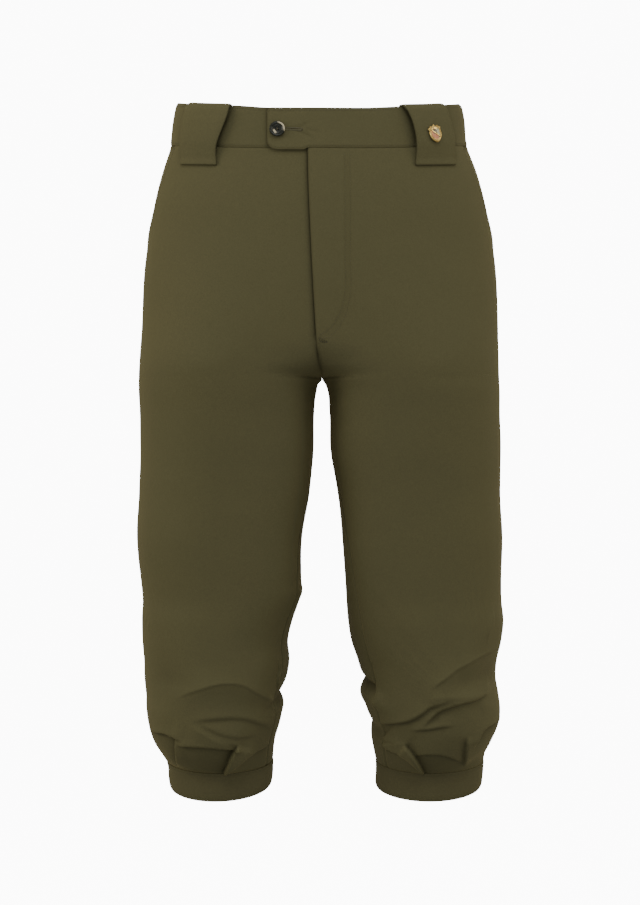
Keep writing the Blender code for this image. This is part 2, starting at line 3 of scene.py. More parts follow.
import bpy
import numpy as np
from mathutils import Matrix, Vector


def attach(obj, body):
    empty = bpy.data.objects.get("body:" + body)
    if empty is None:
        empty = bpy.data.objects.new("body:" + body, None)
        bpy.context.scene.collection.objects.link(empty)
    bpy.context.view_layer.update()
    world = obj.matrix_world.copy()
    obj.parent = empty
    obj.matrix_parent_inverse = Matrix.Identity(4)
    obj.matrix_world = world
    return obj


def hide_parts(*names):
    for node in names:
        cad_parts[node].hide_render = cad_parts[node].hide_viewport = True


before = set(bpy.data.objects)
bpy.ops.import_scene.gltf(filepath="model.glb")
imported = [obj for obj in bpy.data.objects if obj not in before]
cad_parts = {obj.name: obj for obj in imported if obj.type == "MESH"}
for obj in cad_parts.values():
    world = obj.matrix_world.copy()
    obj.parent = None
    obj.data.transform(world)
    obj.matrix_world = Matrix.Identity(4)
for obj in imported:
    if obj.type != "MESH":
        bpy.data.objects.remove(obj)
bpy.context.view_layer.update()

# Knee breeches in olive cloth, filled out as if worn. Metres unless a name ends in _mm. +Z is up, the front
# faces -Y and the wearer's left is +X. A point on the cloth is named by side, half, level and reach: its
# height before the waist and the cuffs are tilted, and its distance along the cloth from the middle seam.
RIGHT, LEFT = -1, 1
FRONT, BACK = -1, 1
SIDE_NAMES = {RIGHT: "right", LEFT: "left"}
HALF_NAMES = {FRONT: "front", BACK: "back"}
MM = 0.001

CLOTH, BAND_CLOTH, LOOP_CLOTH = 0.0018, 0.0026, 0.0018
CLEARANCE = 0.0005
SEAM_GAP = 0.00016
HEM_ROLL = 0.030
BAND_TOP, BAND_FOOT = 0.0255, -0.0195
CROTCH = -0.2770
CUFF_TOP, CUFF_FOOT = -0.6920, -0.7184
BAND_LIFT = 0.0007
# how far the cloth sways slowly in and out, and how deep and wide a sewn seam sinks
SWAY = 0.0007
SEAM_DEPTH, SEAM_WIDTH = 0.0009, 0.0016
BAND_RISE = {1: 0.0009, -1: 0.0018}
BAND_CORNER = {1: 0.0036, -1: 0.0014}
WAIST_DEPTH, WAIST_SLOPE, WAIST_DIP, WAIST_TILT_FOOT = 0.112, 0.0120, 0.0060, -0.1500
CUFF_SLOPE, HEM_SLOPE, CUFF_MIDDLE, CUFF_TILT_TOP, CUFF_TILT_FULL = 0.2030, 0.3000, 0.0090, -0.5500, -0.6600
FLY_TOP_WIDTH, FLY_FOOT_WIDTH, FLY_FOOT, FLY_FADE, FLY_RAMP = 0.0130, 0.0040, -0.2380, 0.0240, 0.0500
TAB_TIP, TAB_DROP, TAB_TOP_CORNER, TAB_FOOT_CORNER = 0.0560, 0.0022, 0.0050, 0.0110
POCKET_SET, POCKET_END_SET, POCKET_FOOT = 0.0460, 0.0060, -0.1370
FACING_UNDERLAP, FACING_DROP = 0.0150, 0.0028

Station = namedtuple("Station", "level right_out right_in left_in left_out front back power")
FORM = [Station(*row) for row in [
    (0.0255, 0.1570, 0.0, 0.0, 0.1550, 0.104, 0.108, 2.65),
    (-0.021, 0.1640, 0.0, 0.0, 0.1616, 0.110, 0.117, 2.60),
    (-0.046, 0.1720, 0.0, 0.0, 0.1711, 0.1135, 0.126, 2.55),
    (-0.079, 0.1807, 0.0, 0.0, 0.1805, 0.1173, 0.136, 2.50),
    (-0.123, 0.1880, 0.0, 0.0, 0.1887, 0.1207, 0.146, 2.45),
    (-0.167, 0.1932, 0.0, 0.0, 0.1933, 0.1228, 0.151, 2.40),
    (-0.211, 0.1950, 0.0, 0.0, 0.1946, 0.1232, 0.151, 2.35),
    (-0.277, 0.1990, 0.0, 0.0, 0.1966, 0.1207, 0.141, 2.30),
    (-0.288, 0.1990, 0.0036, 0.0074, 0.1971, 0.1197, 0.138, 2.28),
    (-0.310, 0.1980, 0.0060, 0.0103, 0.1974, 0.1171, 0.132, 2.25),
    (-0.354, 0.1974, 0.0068, 0.0115, 0.1987, 0.1127, 0.121, 2.22),
    (-0.400, 0.1990, 0.0114, 0.0192, 0.1981, 0.108, 0.110, 2.20),
    (-0.453, 0.2011, 0.0202, 0.0248, 0.2003, 0.104, 0.102, 2.20),
    (-0.497, 0.1967, 0.0208, 0.0282, 0.1988, 0.100, 0.097, 2.20),
    (-0.519, 0.1947, 0.0231, 0.0295, 0.1990, 0.098, 0.096, 2.18),
    (-0.541, 0.1956, 0.0303, 0.0310, 0.2013, 0.097, 0.095, 2.15),
    (-0.563, 0.1950, 0.0352, 0.0342, 0.1988, 0.095, 0.095, 2.15),
    (-0.585, 0.1930, 0.0336, 0.0417, 0.1936, 0.093, 0.095, 2.15),
    (-0.601, 0.1927, 0.0362, 0.0450, 0.1930, 0.092, 0.096, 2.12),
    (-0.618, 0.1910, 0.0420, 0.0460, 0.1962, 0.090, 0.096, 2.10),
    (-0.634, 0.1896, 0.0405, 0.0505, 0.1982, 0.088, 0.096, 2.10),
    (-0.646, 0.1884, 0.0425, 0.0545, 0.1974, 0.085, 0.095, 2.10),
    (-0.668, 0.1825, 0.0486, 0.0562, 0.1890, 0.075, 0.089, 2.05),
    (-0.684, 0.1730, 0.0508, 0.0590, 0.1818, 0.061, 0.079, 2.00),
    (-0.6945, 0.1672, 0.0515, 0.0610, 0.1803, 0.052, 0.069, 2.00),
    (-0.709, 0.1655, 0.0522, 0.0610, 0.1788, 0.049, 0.066, 2.00),
    (-0.7225, 0.1635, 0.0545, 0.0610, 0.1765, 0.047, 0.063, 2.00),
]]
OUT = {RIGHT: "right_out", LEFT: "left_out"}
IN = {RIGHT: "right_in", LEFT: "left_in"}
DEPTH = {FRONT: "front", BACK: "back"}
CROTCH_RISE, CROTCH_BLEND = {FRONT: 0.165, BACK: 0.230}, 0.9
INNER_POWER, CROTCH_SPREAD = 1.3, 0.060
CROTCH_ARCH, CROTCH_LEAN = {RIGHT: 0.0027, LEFT: 0.0007}, 0.0026
INSEAM_TURN, INSEAM_TURN_FULL = {RIGHT: np.radians(27), LEFT: np.radians(37)}, -0.5400

# Creases. A track with a half is where it runs, in millimetres across and up, as seen straight from the
# front (or straight from behind) from EYE_DISTANCE away. A track with none goes round the leg: turns, from 0
# at the inseam forwards to 1 at the side seam and backwards to -1, and levels in millimetres.
# fold is a soft round ridge, or a trough if its height is below 0. crest is a ridge or valley with a turned
# edge: width_mm is its spread on the left of its way along the track and other_mm on the right. lap is a
# pleat's edge: the cloth on the left stands proud and hangs over the right, and other_mm is how sharply.
EYE_DISTANCE, EYE_LEVEL = 3.0, -0.357
Crease = namedtuple("Crease", "side half kind height_mm width_mm other_mm ends track")
CREASES = [Crease(side, half, *row) for (side, half), rows in [
    # wearer's right knee, front
    ((RIGHT, FRONT), [
        ("crest", 5.6, 62, 16, 0.34, [
            (-168, -630), (-155, -627), (-143, -622), (-129, -617), (-116, -613), (-101, -611), (-86, -613),
            (-74, -620), (-61, -627), (-49, -633), (-42, -639)
        ]),
        ("lap", 0.9, 5, 1.3, 0.16, [
            (-161, -628), (-155, -627), (-143, -622), (-129, -617), (-116, -613), (-101, -611), (-86, -613),
            (-74, -620), (-61, -627), (-49, -633), (-42, -639)
        ]),
        ("fold", -1.2, 12, 0, 0.40, [(-196, -604), (-176, -606), (-152, -611), (-136, -622)]),
        ("lap", 2.2, 15, 5.0, 0.30, [
            (-150, -656), (-132, -652), (-112, -650), (-84, -650), (-60, -657), (-40, -663)
        ]),
        ("lap", 2.0, 10, 6.0, 0.35, [(-142, -652), (-122, -661), (-104, -668), (-84, -670), (-62, -666)]),
        ("crest", 2.6, 10, 12, 0.34, [(-152, -650), (-136, -661), (-118, -672), (-98, -679), (-84, -684)]),
        ("lap", 3.0, 15, 1.7, 0.14, [(-158, -679), (-134, -680), (-109, -682), (-86, -685)]),
        ("lap", 3.8, 14, 1.9, 0.30, [(-187, -664), (-180, -664), (-171, -665), (-161, -669), (-148, -675)]),
        ("lap", 3.2, 12, 1.9, 0.20, [(-160, -668), (-159, -676), (-158, -688), (-156, -702)]),
        ("lap", 6.4, 11, 1.7, 0.14, [(-90, -677), (-95, -686), (-101, -698), (-107, -714)]),
        ("crest", 3.4, 9, 7, 0.28, [(-104, -710), (-92, -696), (-80, -684), (-70, -676)]),
        ("lap", 2.4, 9, 1.8, 0.26, [(-108, -716), (-96, -700), (-80, -690), (-62, -681), (-50, -675)]),
        ("lap", 1.6, 8, 1.6, 0.30, [(-47, -583), (-46, -597), (-48, -605), (-47, -615), (-44, -622)]),
        ("crest", 1.8, 4, 9, 0.30, [(-66, -616), (-56, -628), (-47, -637), (-42, -646)]),
        ("fold", 1.8, 7, 0, 0.35, [(-196, -528), (-187, -544), (-184, -556)]),
        ("fold", 1.8, 14, 0, 0.35, [(-196, -634), (-176, -644), (-158, -650)]),
    ]),
    # the fly's rows of stitching draw its cloth in
    ((LEFT, FRONT), [
        ("fold", -0.42, 2.6, 0, 0.04, [
            (30, -29), (30.5, -80), (30.5, -140), (30, -184), (25, -205), (14, -222), (-1, -232)
        ]),
    ]),
    # wearer's left knee, front
    ((LEFT, FRONT), [
        ("crest", 6.0, 66, 17, 0.42, [
            (113, -633), (119, -624), (128, -613), (137, -606), (147, -597), (158, -590), (171, -583), (184, -577),
            (195, -572)
        ]),
        ("lap", 1.2, 6, 1.5, 0.16, [
            (122, -620), (128, -613), (137, -606), (147, -597), (158, -590), (171, -583), (184, -577), (195, -572)
        ]),
        ("fold", -2.4, 11, 0, 0.35, [(202, -590), (184, -600), (160, -610), (138, -622)]),
        ("crest", 3.0, 12, 9, 0.28, [(112, -634), (123, -627), (141, -626), (161, -625), (174, -623), (184, -626)]),
        ("lap", 3.2, 11, 2.4, 0.24, [
            (112, -662), (117, -656), (122, -650), (132, -641), (142, -637), (154, -633), (166, -630), (178, -625),
            (188, -622)
        ]),
        ("lap", 2.8, 13, 2.6, 0.26, [
            (48, -654), (60, -655), (76, -655), (89, -654), (101, -651), (111, -645), (121, -637), (136, -632),
            (148, -628)
        ]),
        ("lap", 1.8, 9, 2.4, 0.35, [(94, -665), (106, -663), (118, -662), (136, -659), (152, -658)]),
        ("crest", 2.8, 10, 12, 0.34, [(52, -666), (66, -669), (82, -675), (98, -679)]),
        ("lap", 5.2, 12, 1.7, 0.14, [(116, -716), (111, -702), (106, -694), (100, -686), (92, -678)]),
        ("lap", 2.8, 9, 1.8, 0.22, [
            (52, -668), (60, -672), (76, -683), (91, -690), (103, -698), (112, -708), (116, -716)
        ]),
        ("crest", 0.9, 6, 6, 0.30, [(84, -680), (97, -688), (106, -699), (112, -708)]),
        ("lap", 2.0, 9, 1.6, 0.24, [(100, -694), (107, -691), (121, -689), (136, -690), (148, -694), (160, -700)]),
        ("lap", 3.0, 12, 3.0, 0.26, [(162, -668), (161, -677), (160, -688), (159, -704)]),
        ("lap", 3.2, 12, 2.4, 0.32, [(168, -684), (174, -672), (180, -662), (192, -654), (200, -650)]),
        ("lap", 1.2, 6, 1.8, 0.30, [(46, -565), (52, -578), (59, -593), (62, -608), (62, -618), (58, -636)]),
        ("fold", 1.8, 5, 0, 0.30, [(57, -642), (62, -632), (70, -620)]),
        ("crest", 1.8, 9, 4, 0.35, [(197, -530), (190, -540), (185, -550), (184, -562), (188, -566)]),
        ("crest", 2.2, 12, 5, 0.35, [(186, -600), (183, -612), (180, -626), (179, -650)]),
    ]),
    # round the knees' inner sides
    ((LEFT, None), [
        ("crest", -6.6, 4, 11, 0.34, [(-0.42, -598), (-0.20, -601), (-0.04, -603), (0.03, -605)]),
        ("fold", 3.4, 9, 0, 0.35, [(-0.45, -614), (-0.20, -617), (0.0, -618), (0.16, -622)]),
        ("fold", -2.0, 7, 0, 0.35, [(-0.45, -646), (-0.15, -648), (0.12, -650)]),
    ]),
    ((RIGHT, None), [
        ("fold", 2.4, 8, 0, 0.35, [(-0.45, -510), (-0.15, -508), (0.20, -510)]),
        ("crest", -2.6, 5, 9, 0.35, [(0.16, -624), (0.0, -619), (-0.20, -616), (-0.42, -612)]),
        ("fold", 1.8, 6, 0, 0.35, [(0.16, -634), (-0.15, -629), (-0.42, -626)]),
    ]),
    # behind the knees
    ((RIGHT, BACK), [
        ("crest", 6.0, 34, 20, 0.24, [(-196, -572), (-160, -590), (-125, -596), (-90, -586), (-50, -566)]),
        ("lap", 3.6, 16, 3.0, 0.28, [(-66, -602), (-104, -616), (-146, -618), (-186, -606)]),
        ("crest", 4.6, 20, 10, 0.28, [(-190, -628), (-152, -640), (-116, -640), (-70, -624)]),
        ("lap", 3.0, 12, 2.2, 0.26, [(-62, -648), (-98, -660), (-138, -662), (-178, -652)]),
        ("lap", 4.6, 12, 2.0, 0.18, [(-80, -671), (-112, -678), (-152, -674)]),
        ("lap", 5.4, 10, 1.9, 0.16, [(-118, -714), (-122, -694), (-128, -678)]),
        ("lap", 4.0, 9, 2.0, 0.20, [(-80, -676), (-86, -690), (-90, -708)]),
    ]),
    ((LEFT, BACK), [
        ("crest", 6.0, 34, 20, 0.24, [(58, -568), (96, -588), (134, -600), (168, -592), (196, -576)]),
        ("lap", 3.6, 16, 3.0, 0.28, [(190, -606), (150, -619), (108, -617), (70, -603)]),
        ("crest", 4.6, 20, 10, 0.28, [(66, -622), (104, -636), (142, -642), (192, -630)]),
        ("lap", 3.0, 12, 2.2, 0.26, [(186, -650), (158, -661), (120, -663), (84, -651)]),
        ("lap", 4.6, 12, 2.0, 0.18, [(160, -671), (126, -678), (90, -669)]),
        ("lap", 5.4, 10, 1.9, 0.16, [(132, -678), (125, -694), (121, -714)]),
        ("lap", 4.0, 9, 2.0, 0.20, [(97, -708), (96, -690), (90, -676)]),
    ]),
    # soft drags at the crotch, the seat and behind the thighs
    ((RIGHT, FRONT), [
        ("fold", -0.5, 10, 0, 0.45, [(-6, -262), (-30, -252), (-60, -240)]),
    ]),
    ((LEFT, FRONT), [
        ("fold", -0.5, 10, 0, 0.45, [(2, -264), (26, -256), (56, -246)]),
    ]),
    ((RIGHT, BACK), [
        ("fold", -3.4, 22, 0, 0.40, [(-16, -256), (-60, -272), (-130, -280)]),
    ]),
    ((LEFT, BACK), [
        ("fold", -3.4, 22, 0, 0.40, [(16, -256), (60, -272), (130, -280)]),
    ]),
    ((RIGHT, BACK), [
        ("fold", -2.2, 20, 0, 0.40, [(-40, -322), (-100, -340), (-160, -334)]),
    ]),
    ((LEFT, BACK), [
        ("fold", -2.2, 20, 0, 0.40, [(36, -318), (98, -338), (158, -336)]),
    ]),
    ((RIGHT, BACK), [
        ("fold", -1.6, 22, 0, 0.40, [(-30, -420), (-90, -440), (-150, -430)]),
    ]),
    ((LEFT, BACK), [
        ("fold", -1.6, 22, 0, 0.40, [(40, -414), (96, -436), (160, -434)]),
    ]),
] for row in rows]


def smoothstep(t):
    """3t^2 - 2t^3, with t held between 0 and 1."""
    t = np.clip(t, 0.0, 1.0)
    return t * t * (3.0 - 2.0 * t)


def bell(distance, width):
    """exp(-(d/w)^2)"""
    return np.exp(-((distance / width) ** 2))


def fade(distance, width):
    """exp(-d/w)"""
    return np.exp(-distance / width)


def between_points(grid, i, j, t, s):
    """A grid's value past row i by the share t and past column j by the share s."""
    near, far = (grid[k, j] * (1 - s) + grid[k, j + 1] * s for k in (i, i + 1))
    return near * (1 - t) + far * t


def run_along(points):
    """The distance of each point of a line from its first, along the line."""
    return np.concatenate([[0.0], np.cumsum(np.linalg.norm(np.diff(points, axis=0), axis=1))])


def smooth_curve(at, knots, values):
    """A cubic Hermite curve through the values at the rising knots, with the slopes of their differences."""
    knots, values = np.asarray(knots, float), np.asarray(values, float)
    slopes = np.gradient(values, knots, axis=0)
    i = np.clip(np.searchsorted(knots, at) - 1, 0, len(knots) - 2)
    span = knots[i + 1] - knots[i]
    t = np.clip((at - knots[i]) / span, 0.0, 1.0)
    if values.ndim > 1:
        span, t = span[..., None], t[..., None]
    return (
        values[i] * (1 + 2 * t) * (1 - t) ** 2
        + values[i + 1] * t * t * (3 - 2 * t)
        + span * t * (1 - t) * (slopes[i] * (1 - t) - slopes[i + 1] * t)
    )


def form(column, level):
    """One column of FORM, read at these levels."""
    rows = sorted(FORM)
    return smooth_curve(level, [row.level for row in rows], [getattr(row, column) for row in rows])


def sections(side, half, levels, count=260):
    """Each level's section from the middle seam to the side seam, as rows of x, y and length along it.

    x = c - r sgn(cos a)|cos a|^(2/n) and y = d sgn(sin a)|sin a|^(2/n), for a from the middle seam to pi at the
    side seam: a superellipse, of which the groove between the legs cuts off what would pass the middle. Its
    inner half is squarer round the crotch and the thighs. The groove is r(2 - r) at the middle seam, for a
    rise r above the crotch, and 3r^2 - 2r^3 further out, so only the seam turns under sharply. Just under the
    crotch the inseam is drawn out a little further, into a round arch.
    """
    level = np.asarray(levels, float)[:, None]
    out, power = form(OUT[side], level), form("power", level)
    inner_power = power + INNER_POWER * smoothstep((-0.150 - level) / 0.110) * smoothstep((level + 0.600) / 0.150)
    rise = np.clip((level - CROTCH) / CROTCH_RISE[half], 0.0, 1.0)
    inner = np.where(level > CROTCH, -out * rise * (2 - rise), form(IN[side], level))
    centre, radius = (out + inner) / 2, (out - inner) / 2
    cut = np.arccos(np.clip(np.maximum(centre, 0.0) / radius, 0.0, 1.0) ** (inner_power / 2))
    start = np.where(inner < 0, cut, 0.0) - half * INSEAM_TURN[side] * smoothstep(
        (CROTCH - level) / (CROTCH - INSEAM_TURN_FULL)
    )
    angle = start + (np.pi - start) * np.linspace(0.0, 1.0, count)
    away = smoothstep((angle - start) / CROTCH_BLEND) * (level > CROTCH)
    inner = inner + (-out * smoothstep(rise) - inner) * away
    centre, radius = (out + inner) / 2, (out - inner) / 2
    across, along = np.cos(angle), np.sin(angle)
    depth = np.where(along < 0, form(DEPTH[-half], level), form(DEPTH[half], level))
    power = np.where(across > 0, inner_power, power)
    x = centre - radius * np.sign(across) * np.abs(across) ** (2 / power)
    y = half * depth * np.sign(along) * np.abs(along) ** (2 / power)
    x = x + SEAM_GAP / 2 * bell(x, 0.003)
    down = (CROTCH - level) / 0.014
    arch = CROTCH_ARCH[side] * smoothstep(down / 0.2) * (1 - smoothstep((down - 0.2) / 0.8))
    x = x + arch * bell(x - np.maximum(inner, 0), 0.010)
    run = np.hypot(np.diff(x, axis=1), np.diff(y, axis=1))
    return x, y, np.concatenate([np.zeros((len(level), 1)), np.cumsum(run, axis=1)], axis=1)


def tilt(level, y, x=0.0):
    """The height of a point of the form once the waist and the cuffs are tilted."""
    back = y / WAIST_DEPTH
    waist = smoothstep((level - WAIST_TILT_FOOT) / (BAND_TOP - WAIST_TILT_FOOT))
    cuff = smoothstep((CUFF_TILT_TOP - level) / (CUFF_TILT_TOP - CUFF_TILT_FULL))
    hem = np.clip((CUFF_TOP - level) / (CUFF_TOP - CUFF_FOOT), 0.0, 1.0)
    slope = CUFF_SLOPE + (HEM_SLOPE - CUFF_SLOPE) * hem
    level = level + waist * (WAIST_SLOPE * back - WAIST_DIP * back**2)
    return level + cuff * slope * (y - CUFF_MIDDLE) + HEM_ROLL * hem * np.where(x < 0, x + 0.110, 0.0)


def cloth_points(side, half, level, reach, lift=0.0):
    """The form's points at a grid of levels and reaches, moved straight out of the section by lift.

    level is one number for each row or a grid, reach a grid. A reach below 0 is on the other side.
    """
    reach = np.atleast_2d(reach)
    level = np.broadcast_to(np.asarray(level, float).reshape(len(reach), -1), reach.shape)
    top = level.max() + 0.0002
    table = np.linspace(level.min(), top, int((top - level.min()) / 0.0012) + 2)
    finer = CROTCH + np.array([0.0, 0.02, 0.1, 0.25, 0.5, 0.8, 1.2, 1.7, 2.3, 3.0]) * MM
    table = np.unique(np.concatenate([table, finer[(finer > table[0]) & (finer < top)]]))
    place, outward = np.zeros(reach.shape + (2,)), np.zeros(reach.shape + (2,))
    low = np.clip(np.searchsorted(table, level, side="right") - 1, 0, len(table) - 2)
    between = (level - table[low]) / (table[low + 1] - table[low])
    for each in (RIGHT, LEFT):
        here = (reach >= 0) == (each == side)
        if not here.any():
            continue
        x, y, length = sections(each, half, table)
        # the same share of each section's length, read from the two sections next to the level
        total = length[:, -1]
        even = np.linspace(0.0, 1.0, 700)
        evened = np.stack([
            [np.interp(even * run[-1], run, values) for run, values in zip(length, grid)] for grid in (x, y)
        ], axis=-1)
        turned = np.gradient(evened, axis=1)
        turned /= np.linalg.norm(turned, axis=2, keepdims=True)
        t = between[here]
        i = low[here]
        share = np.abs(reach[here]) / (total[i] * (1 - t) + total[i + 1] * t)
        j = np.clip(share, 0.0, 1.0) * (len(even) - 1)
        k = np.minimum(j.astype(int), len(even) - 2)
        s = (j - k)[:, None]
        t = t[:, None]
        place[here] = between_points(evened, i, k, t, s) * (each, 1)
        tangent = between_points(turned, i, k, t, s)
        outward[here] = np.stack([-half * each * tangent[:, 1], half * tangent[:, 0]], 1)
    height = tilt(level, place[..., 1], place[..., 0])
    place[..., 0] += CROTCH_LEAN * np.exp(-(((level - CROTCH) / 0.010) ** 2) - (place[..., 0] / 0.03) ** 2)
    place = place + outward * np.broadcast_to(np.asarray(lift, float), reach.shape)[..., None]
    return np.concatenate([place, height[..., None]], axis=-1)


def widths(side, half, levels):
    """The cloth's width from the middle seam to the side seam at each level."""
    return sections(side, half, levels)[2][:, -1]


def reach_at(side, half, level, x):
    """The reach of the form's point that is this far from the middle."""
    across, _, length = sections(side, half, [level])
    return float(np.interp(x, across[0], length[0]))


def outward(points):
    """Unit normals of a grid whose rows run down and whose columns run left to right as seen from outside."""
    normal = np.cross(np.gradient(points, axis=0), np.gradient(points, axis=1))
    return normal / np.maximum(np.linalg.norm(normal, axis=-1, keepdims=True), 1e-12)


def seen(points, half):
    """Where the points lie across and up, as seen from EYE_DISTANCE away: (x, z) scaled by D / (D + y)."""
    scale = EYE_DISTANCE / (EYE_DISTANCE - half * points[..., 1])
    return np.stack([points[..., 0] * scale, EYE_LEVEL + (points[..., 2] - EYE_LEVEL) * scale], -1)


def track_curve(track, count):
    """A smooth curve through a track's points, evenly spaced by their distances."""
    points = np.asarray(track, float) * MM
    steps = run_along(points)
    return smooth_curve(np.linspace(0.0, steps[-1], count), steps, points)


def crease_line(crease, bases):
    """A crease's track on the form, as points and shares of its length, from its plain or its round track."""
    if crease.half is not None:
        points = bases[crease.side, crease.half].points.reshape(-1, 3)
        where, track = seen(points, crease.half), track_curve(crease.track, 24)
        box = np.all((where > track.min(0) - 0.012) & (where < track.max(0) + 0.012), axis=1)
        weight = np.exp(-np.sum((where[box][None] - track[:, None]) ** 2, -1) / 0.0022**2) + 1e-30
        kept = weight.max(1) > 0.05
        return ((weight @ points[box]) / weight.sum(1)[:, None])[kept], np.linspace(0.0, 1.0, 24)[kept]
    turns, levels = np.array(crease.track, float).T
    shares = np.linspace(0.0, 1.0, 24)
    knots = np.linspace(0.0, 1.0, len(turns))
    turn, level = smooth_curve(shares, knots, turns), smooth_curve(shares, knots, levels * MM)
    line = np.zeros((24, 3))
    for half in (FRONT, BACK):
        here = (turn >= 0) == (half == FRONT)
        if here.any():
            reach = np.abs(turn[here]) * widths(crease.side, half, level[here])
            line[here] = cloth_points(crease.side, half, level[here][None], reach[None])[0]
    return line, shares


def profile(kind, height, width, other, signed, far):
    """A crease's height and overhang at a distance from its line, signed above 0 on the left of its way.

    fold: h exp(-(d/w)^2). crest: h exp(-q/w) on the left and h exp(-q/v) on the right, where q is
    sqrt(d^2 + e^2) - e, so that its edge is round. lap: h s exp(-d/w) on the left and -0.65 h (1-s)
    exp(-|d|/0.7w) on the right, with s = (1 + tanh(2d/e)) / 2, and the left side is also drawn over the
    right by 0.45 h s exp(-d/0.6w).
    """
    if kind == "fold":
        return height * bell(far, width), 0.0
    if kind == "crest":
        edge = min(0.22 * min(width, other), 0.0012)
        q = np.sqrt(far**2 + edge**2) - edge
        return height * np.exp(-q / np.where(signed > 0, width, other)), 0.0
    proud = 0.5 + 0.5 * np.tanh(2.0 * signed / other)
    rise = height * (proud * fade(far, width) - 0.65 * (1.0 - proud) * fade(far, 0.7 * width))
    return rise, 0.45 * height * proud * fade(far, 0.6 * width)


def crease_moves(base, side, lines):
    """How the creases of one side move each point of a panel: how far outwards, and a sideways vector.

    Each crease dies away over the share of its length called ends. Also how much painted shade each point gets
    beside a pleat's edge: exp(-d/(2 mm)) on its low side for pleats 4 mm high or more, and less for lower ones.
    """
    flat, facing = base.points.reshape(-1, 3), base.normals.reshape(-1, 3)
    lift, shift, painted_shade = np.zeros(len(flat)), np.zeros((len(flat), 3)), np.zeros(len(flat))
    for crease, (line, share) in lines:
        if crease.side != side or len(line) < 3:
            continue
        width, other = crease.width_mm * MM, crease.other_mm * MM
        margin = (2.4 if crease.kind == "fold" else 3.6) * max(width, other)
        near = np.flatnonzero(np.all((flat > line.min(0) - margin) & (flat < line.max(0) + margin), axis=1))
        if len(near) == 0:
            continue
        start, run = line[:-1], np.diff(line, axis=0)
        gap = flat[near][:, None] - start
        t = np.clip(np.einsum("psk,sk->ps", gap, run) / np.maximum(np.sum(run * run, 1), 1e-12), 0.0, 1.0)
        away = gap - t[..., None] * run
        best = np.argmin(np.sum(away * away, -1), axis=1)
        pick = np.arange(len(near)), best
        left = np.cross(facing[near], run[best])
        left /= np.maximum(np.linalg.norm(left, axis=1, keepdims=True), 1e-12)
        signed, far = np.sum(away[pick] * left, axis=1), np.linalg.norm(away[pick], axis=1)
        along = share[best] + t[pick] * np.diff(share)[best]
        past_end = np.sum((flat[near] - line[-1]) * run[-1], 1) > 1e-9
        before_start = np.sum((flat[near] - line[0]) * run[0], 1) < -1e-9
        ends = smoothstep(along / crease.ends) * smoothstep((1.0 - along) / crease.ends) * ~(past_end | before_start)
        rise, over = profile(crease.kind, crease.height_mm * MM, width, other, signed, far)
        lift[near] += rise * ends
        if crease.kind == "lap":
            shift[near] -= left * (over * ends)[:, None]
            # painted shade on a pleat's low side, beside its edge
            low = 0.5 - 0.5 * np.tanh(2.0 * signed / other)
            painted_shade[near] += min(crease.height_mm / 4, 1.5) * low * fade(far, 0.002) * ends
    shape = base.points.shape[:-1]
    return lift.reshape(shape), shift.reshape(shape + (3,)), painted_shade.reshape(shape)


def sway(points, size):
    """A slow unevenness of the cloth: sines of the place in 15 directions and 5 lengths, the same everywhere."""
    rng = np.random.default_rng(11)
    total = np.zeros(points.shape[:-1])
    for wave in (0.21, 0.14, 0.09, 0.06, 0.04):
        for _ in range(3):
            direction = rng.normal(size=3)
            direction /= np.linalg.norm(direction)
            total += wave * np.sin(points @ direction * 2 * np.pi / wave + rng.uniform(0, 2 * np.pi))
    return size * total / 0.54 / 1.7


# ------------------------------------------------------------------ making meshes
Panel = namedtuple("Panel", "object points normals levels shares starts spans")


def left_to_right(side, half, grid):
    """The grid's columns in order from left to right as seen from outside."""
    return grid if side * half < 0 else grid[:, ::-1]


def grid_quads(rows, across, ring=False, tube=False):
    """A grid's faces by the numbers of its points: (r, c), (r+1, c), (r+1, c+1), (r, c+1). A ring's last column
    joins its first, and a tube's last row its first."""
    last_row, last_column = rows if tube else rows - 1, across if ring else across - 1
    r, c = np.meshgrid(np.arange(last_row), np.arange(last_column), indexing="ij")
    e, d = (r + 1) % rows, (c + 1) % across
    return np.stack([r * across + c, e * across + c, e * across + d, r * across + d], -1).reshape(-1, 4)


def shaped_mesh(name, verts, corners, starts, corner_uv):
    """A smooth mesh from its points, its faces' corners in one list, where each face starts, and corner uvs."""
    mesh = bpy.data.meshes.new(name)
    mesh.vertices.add(len(verts))
    mesh.vertices.foreach_set("co", np.asarray(verts, np.float32).reshape(-1))
    mesh.loops.add(len(corners))
    mesh.loops.foreach_set("vertex_index", np.asarray(corners, np.int32))
    mesh.polygons.add(len(starts))
    mesh.polygons.foreach_set("loop_start", np.asarray(starts, np.int32))
    layer = mesh.uv_layers.new(name="cloth")
    layer.data.foreach_set("uv", np.asarray(corner_uv, np.float32).reshape(-1))
    mesh.update(calc_edges=True)
    mesh.validate()
    mesh.shade_smooth()
    return mesh


def grid_mesh(name, points, uv, closed=False, painted_shading=None):
    """A mesh of a grid of points, with uv in metres. painted_shading, if given, is kept at each point: how much
    painted highlight (up to 1) or painted shade (down to -1.4) the cloth's material lays on its colour, where the
    creases stand proud or sink and beside seams and edges."""
    rows, across = points.shape[:2]
    quads = grid_quads(rows, across, closed)
    corner = uv.reshape(-1, 2)[quads.reshape(-1)].copy()
    if closed:
        step = uv[0, 1, 0] - uv[0, 0, 0]
        last = (quads[:, :1] % across == across - 1) & np.array([False, False, True, True])
        corner[:, 0] += np.where(last.reshape(-1), step * across, 0.0)
    mesh = shaped_mesh(name, points.reshape(-1, 3), quads.reshape(-1), np.arange(len(quads)) * 4, corner)
    if painted_shading is not None:
        # painted highlight and painted shade for the cloth's colour, kept at each point
        kept = np.clip(painted_shading, -1.4, 1).reshape(-1).astype(np.float32)
        mesh.attributes.new("painted_shading", "FLOAT", "POINT").data.foreach_set("value", kept)
    return mesh


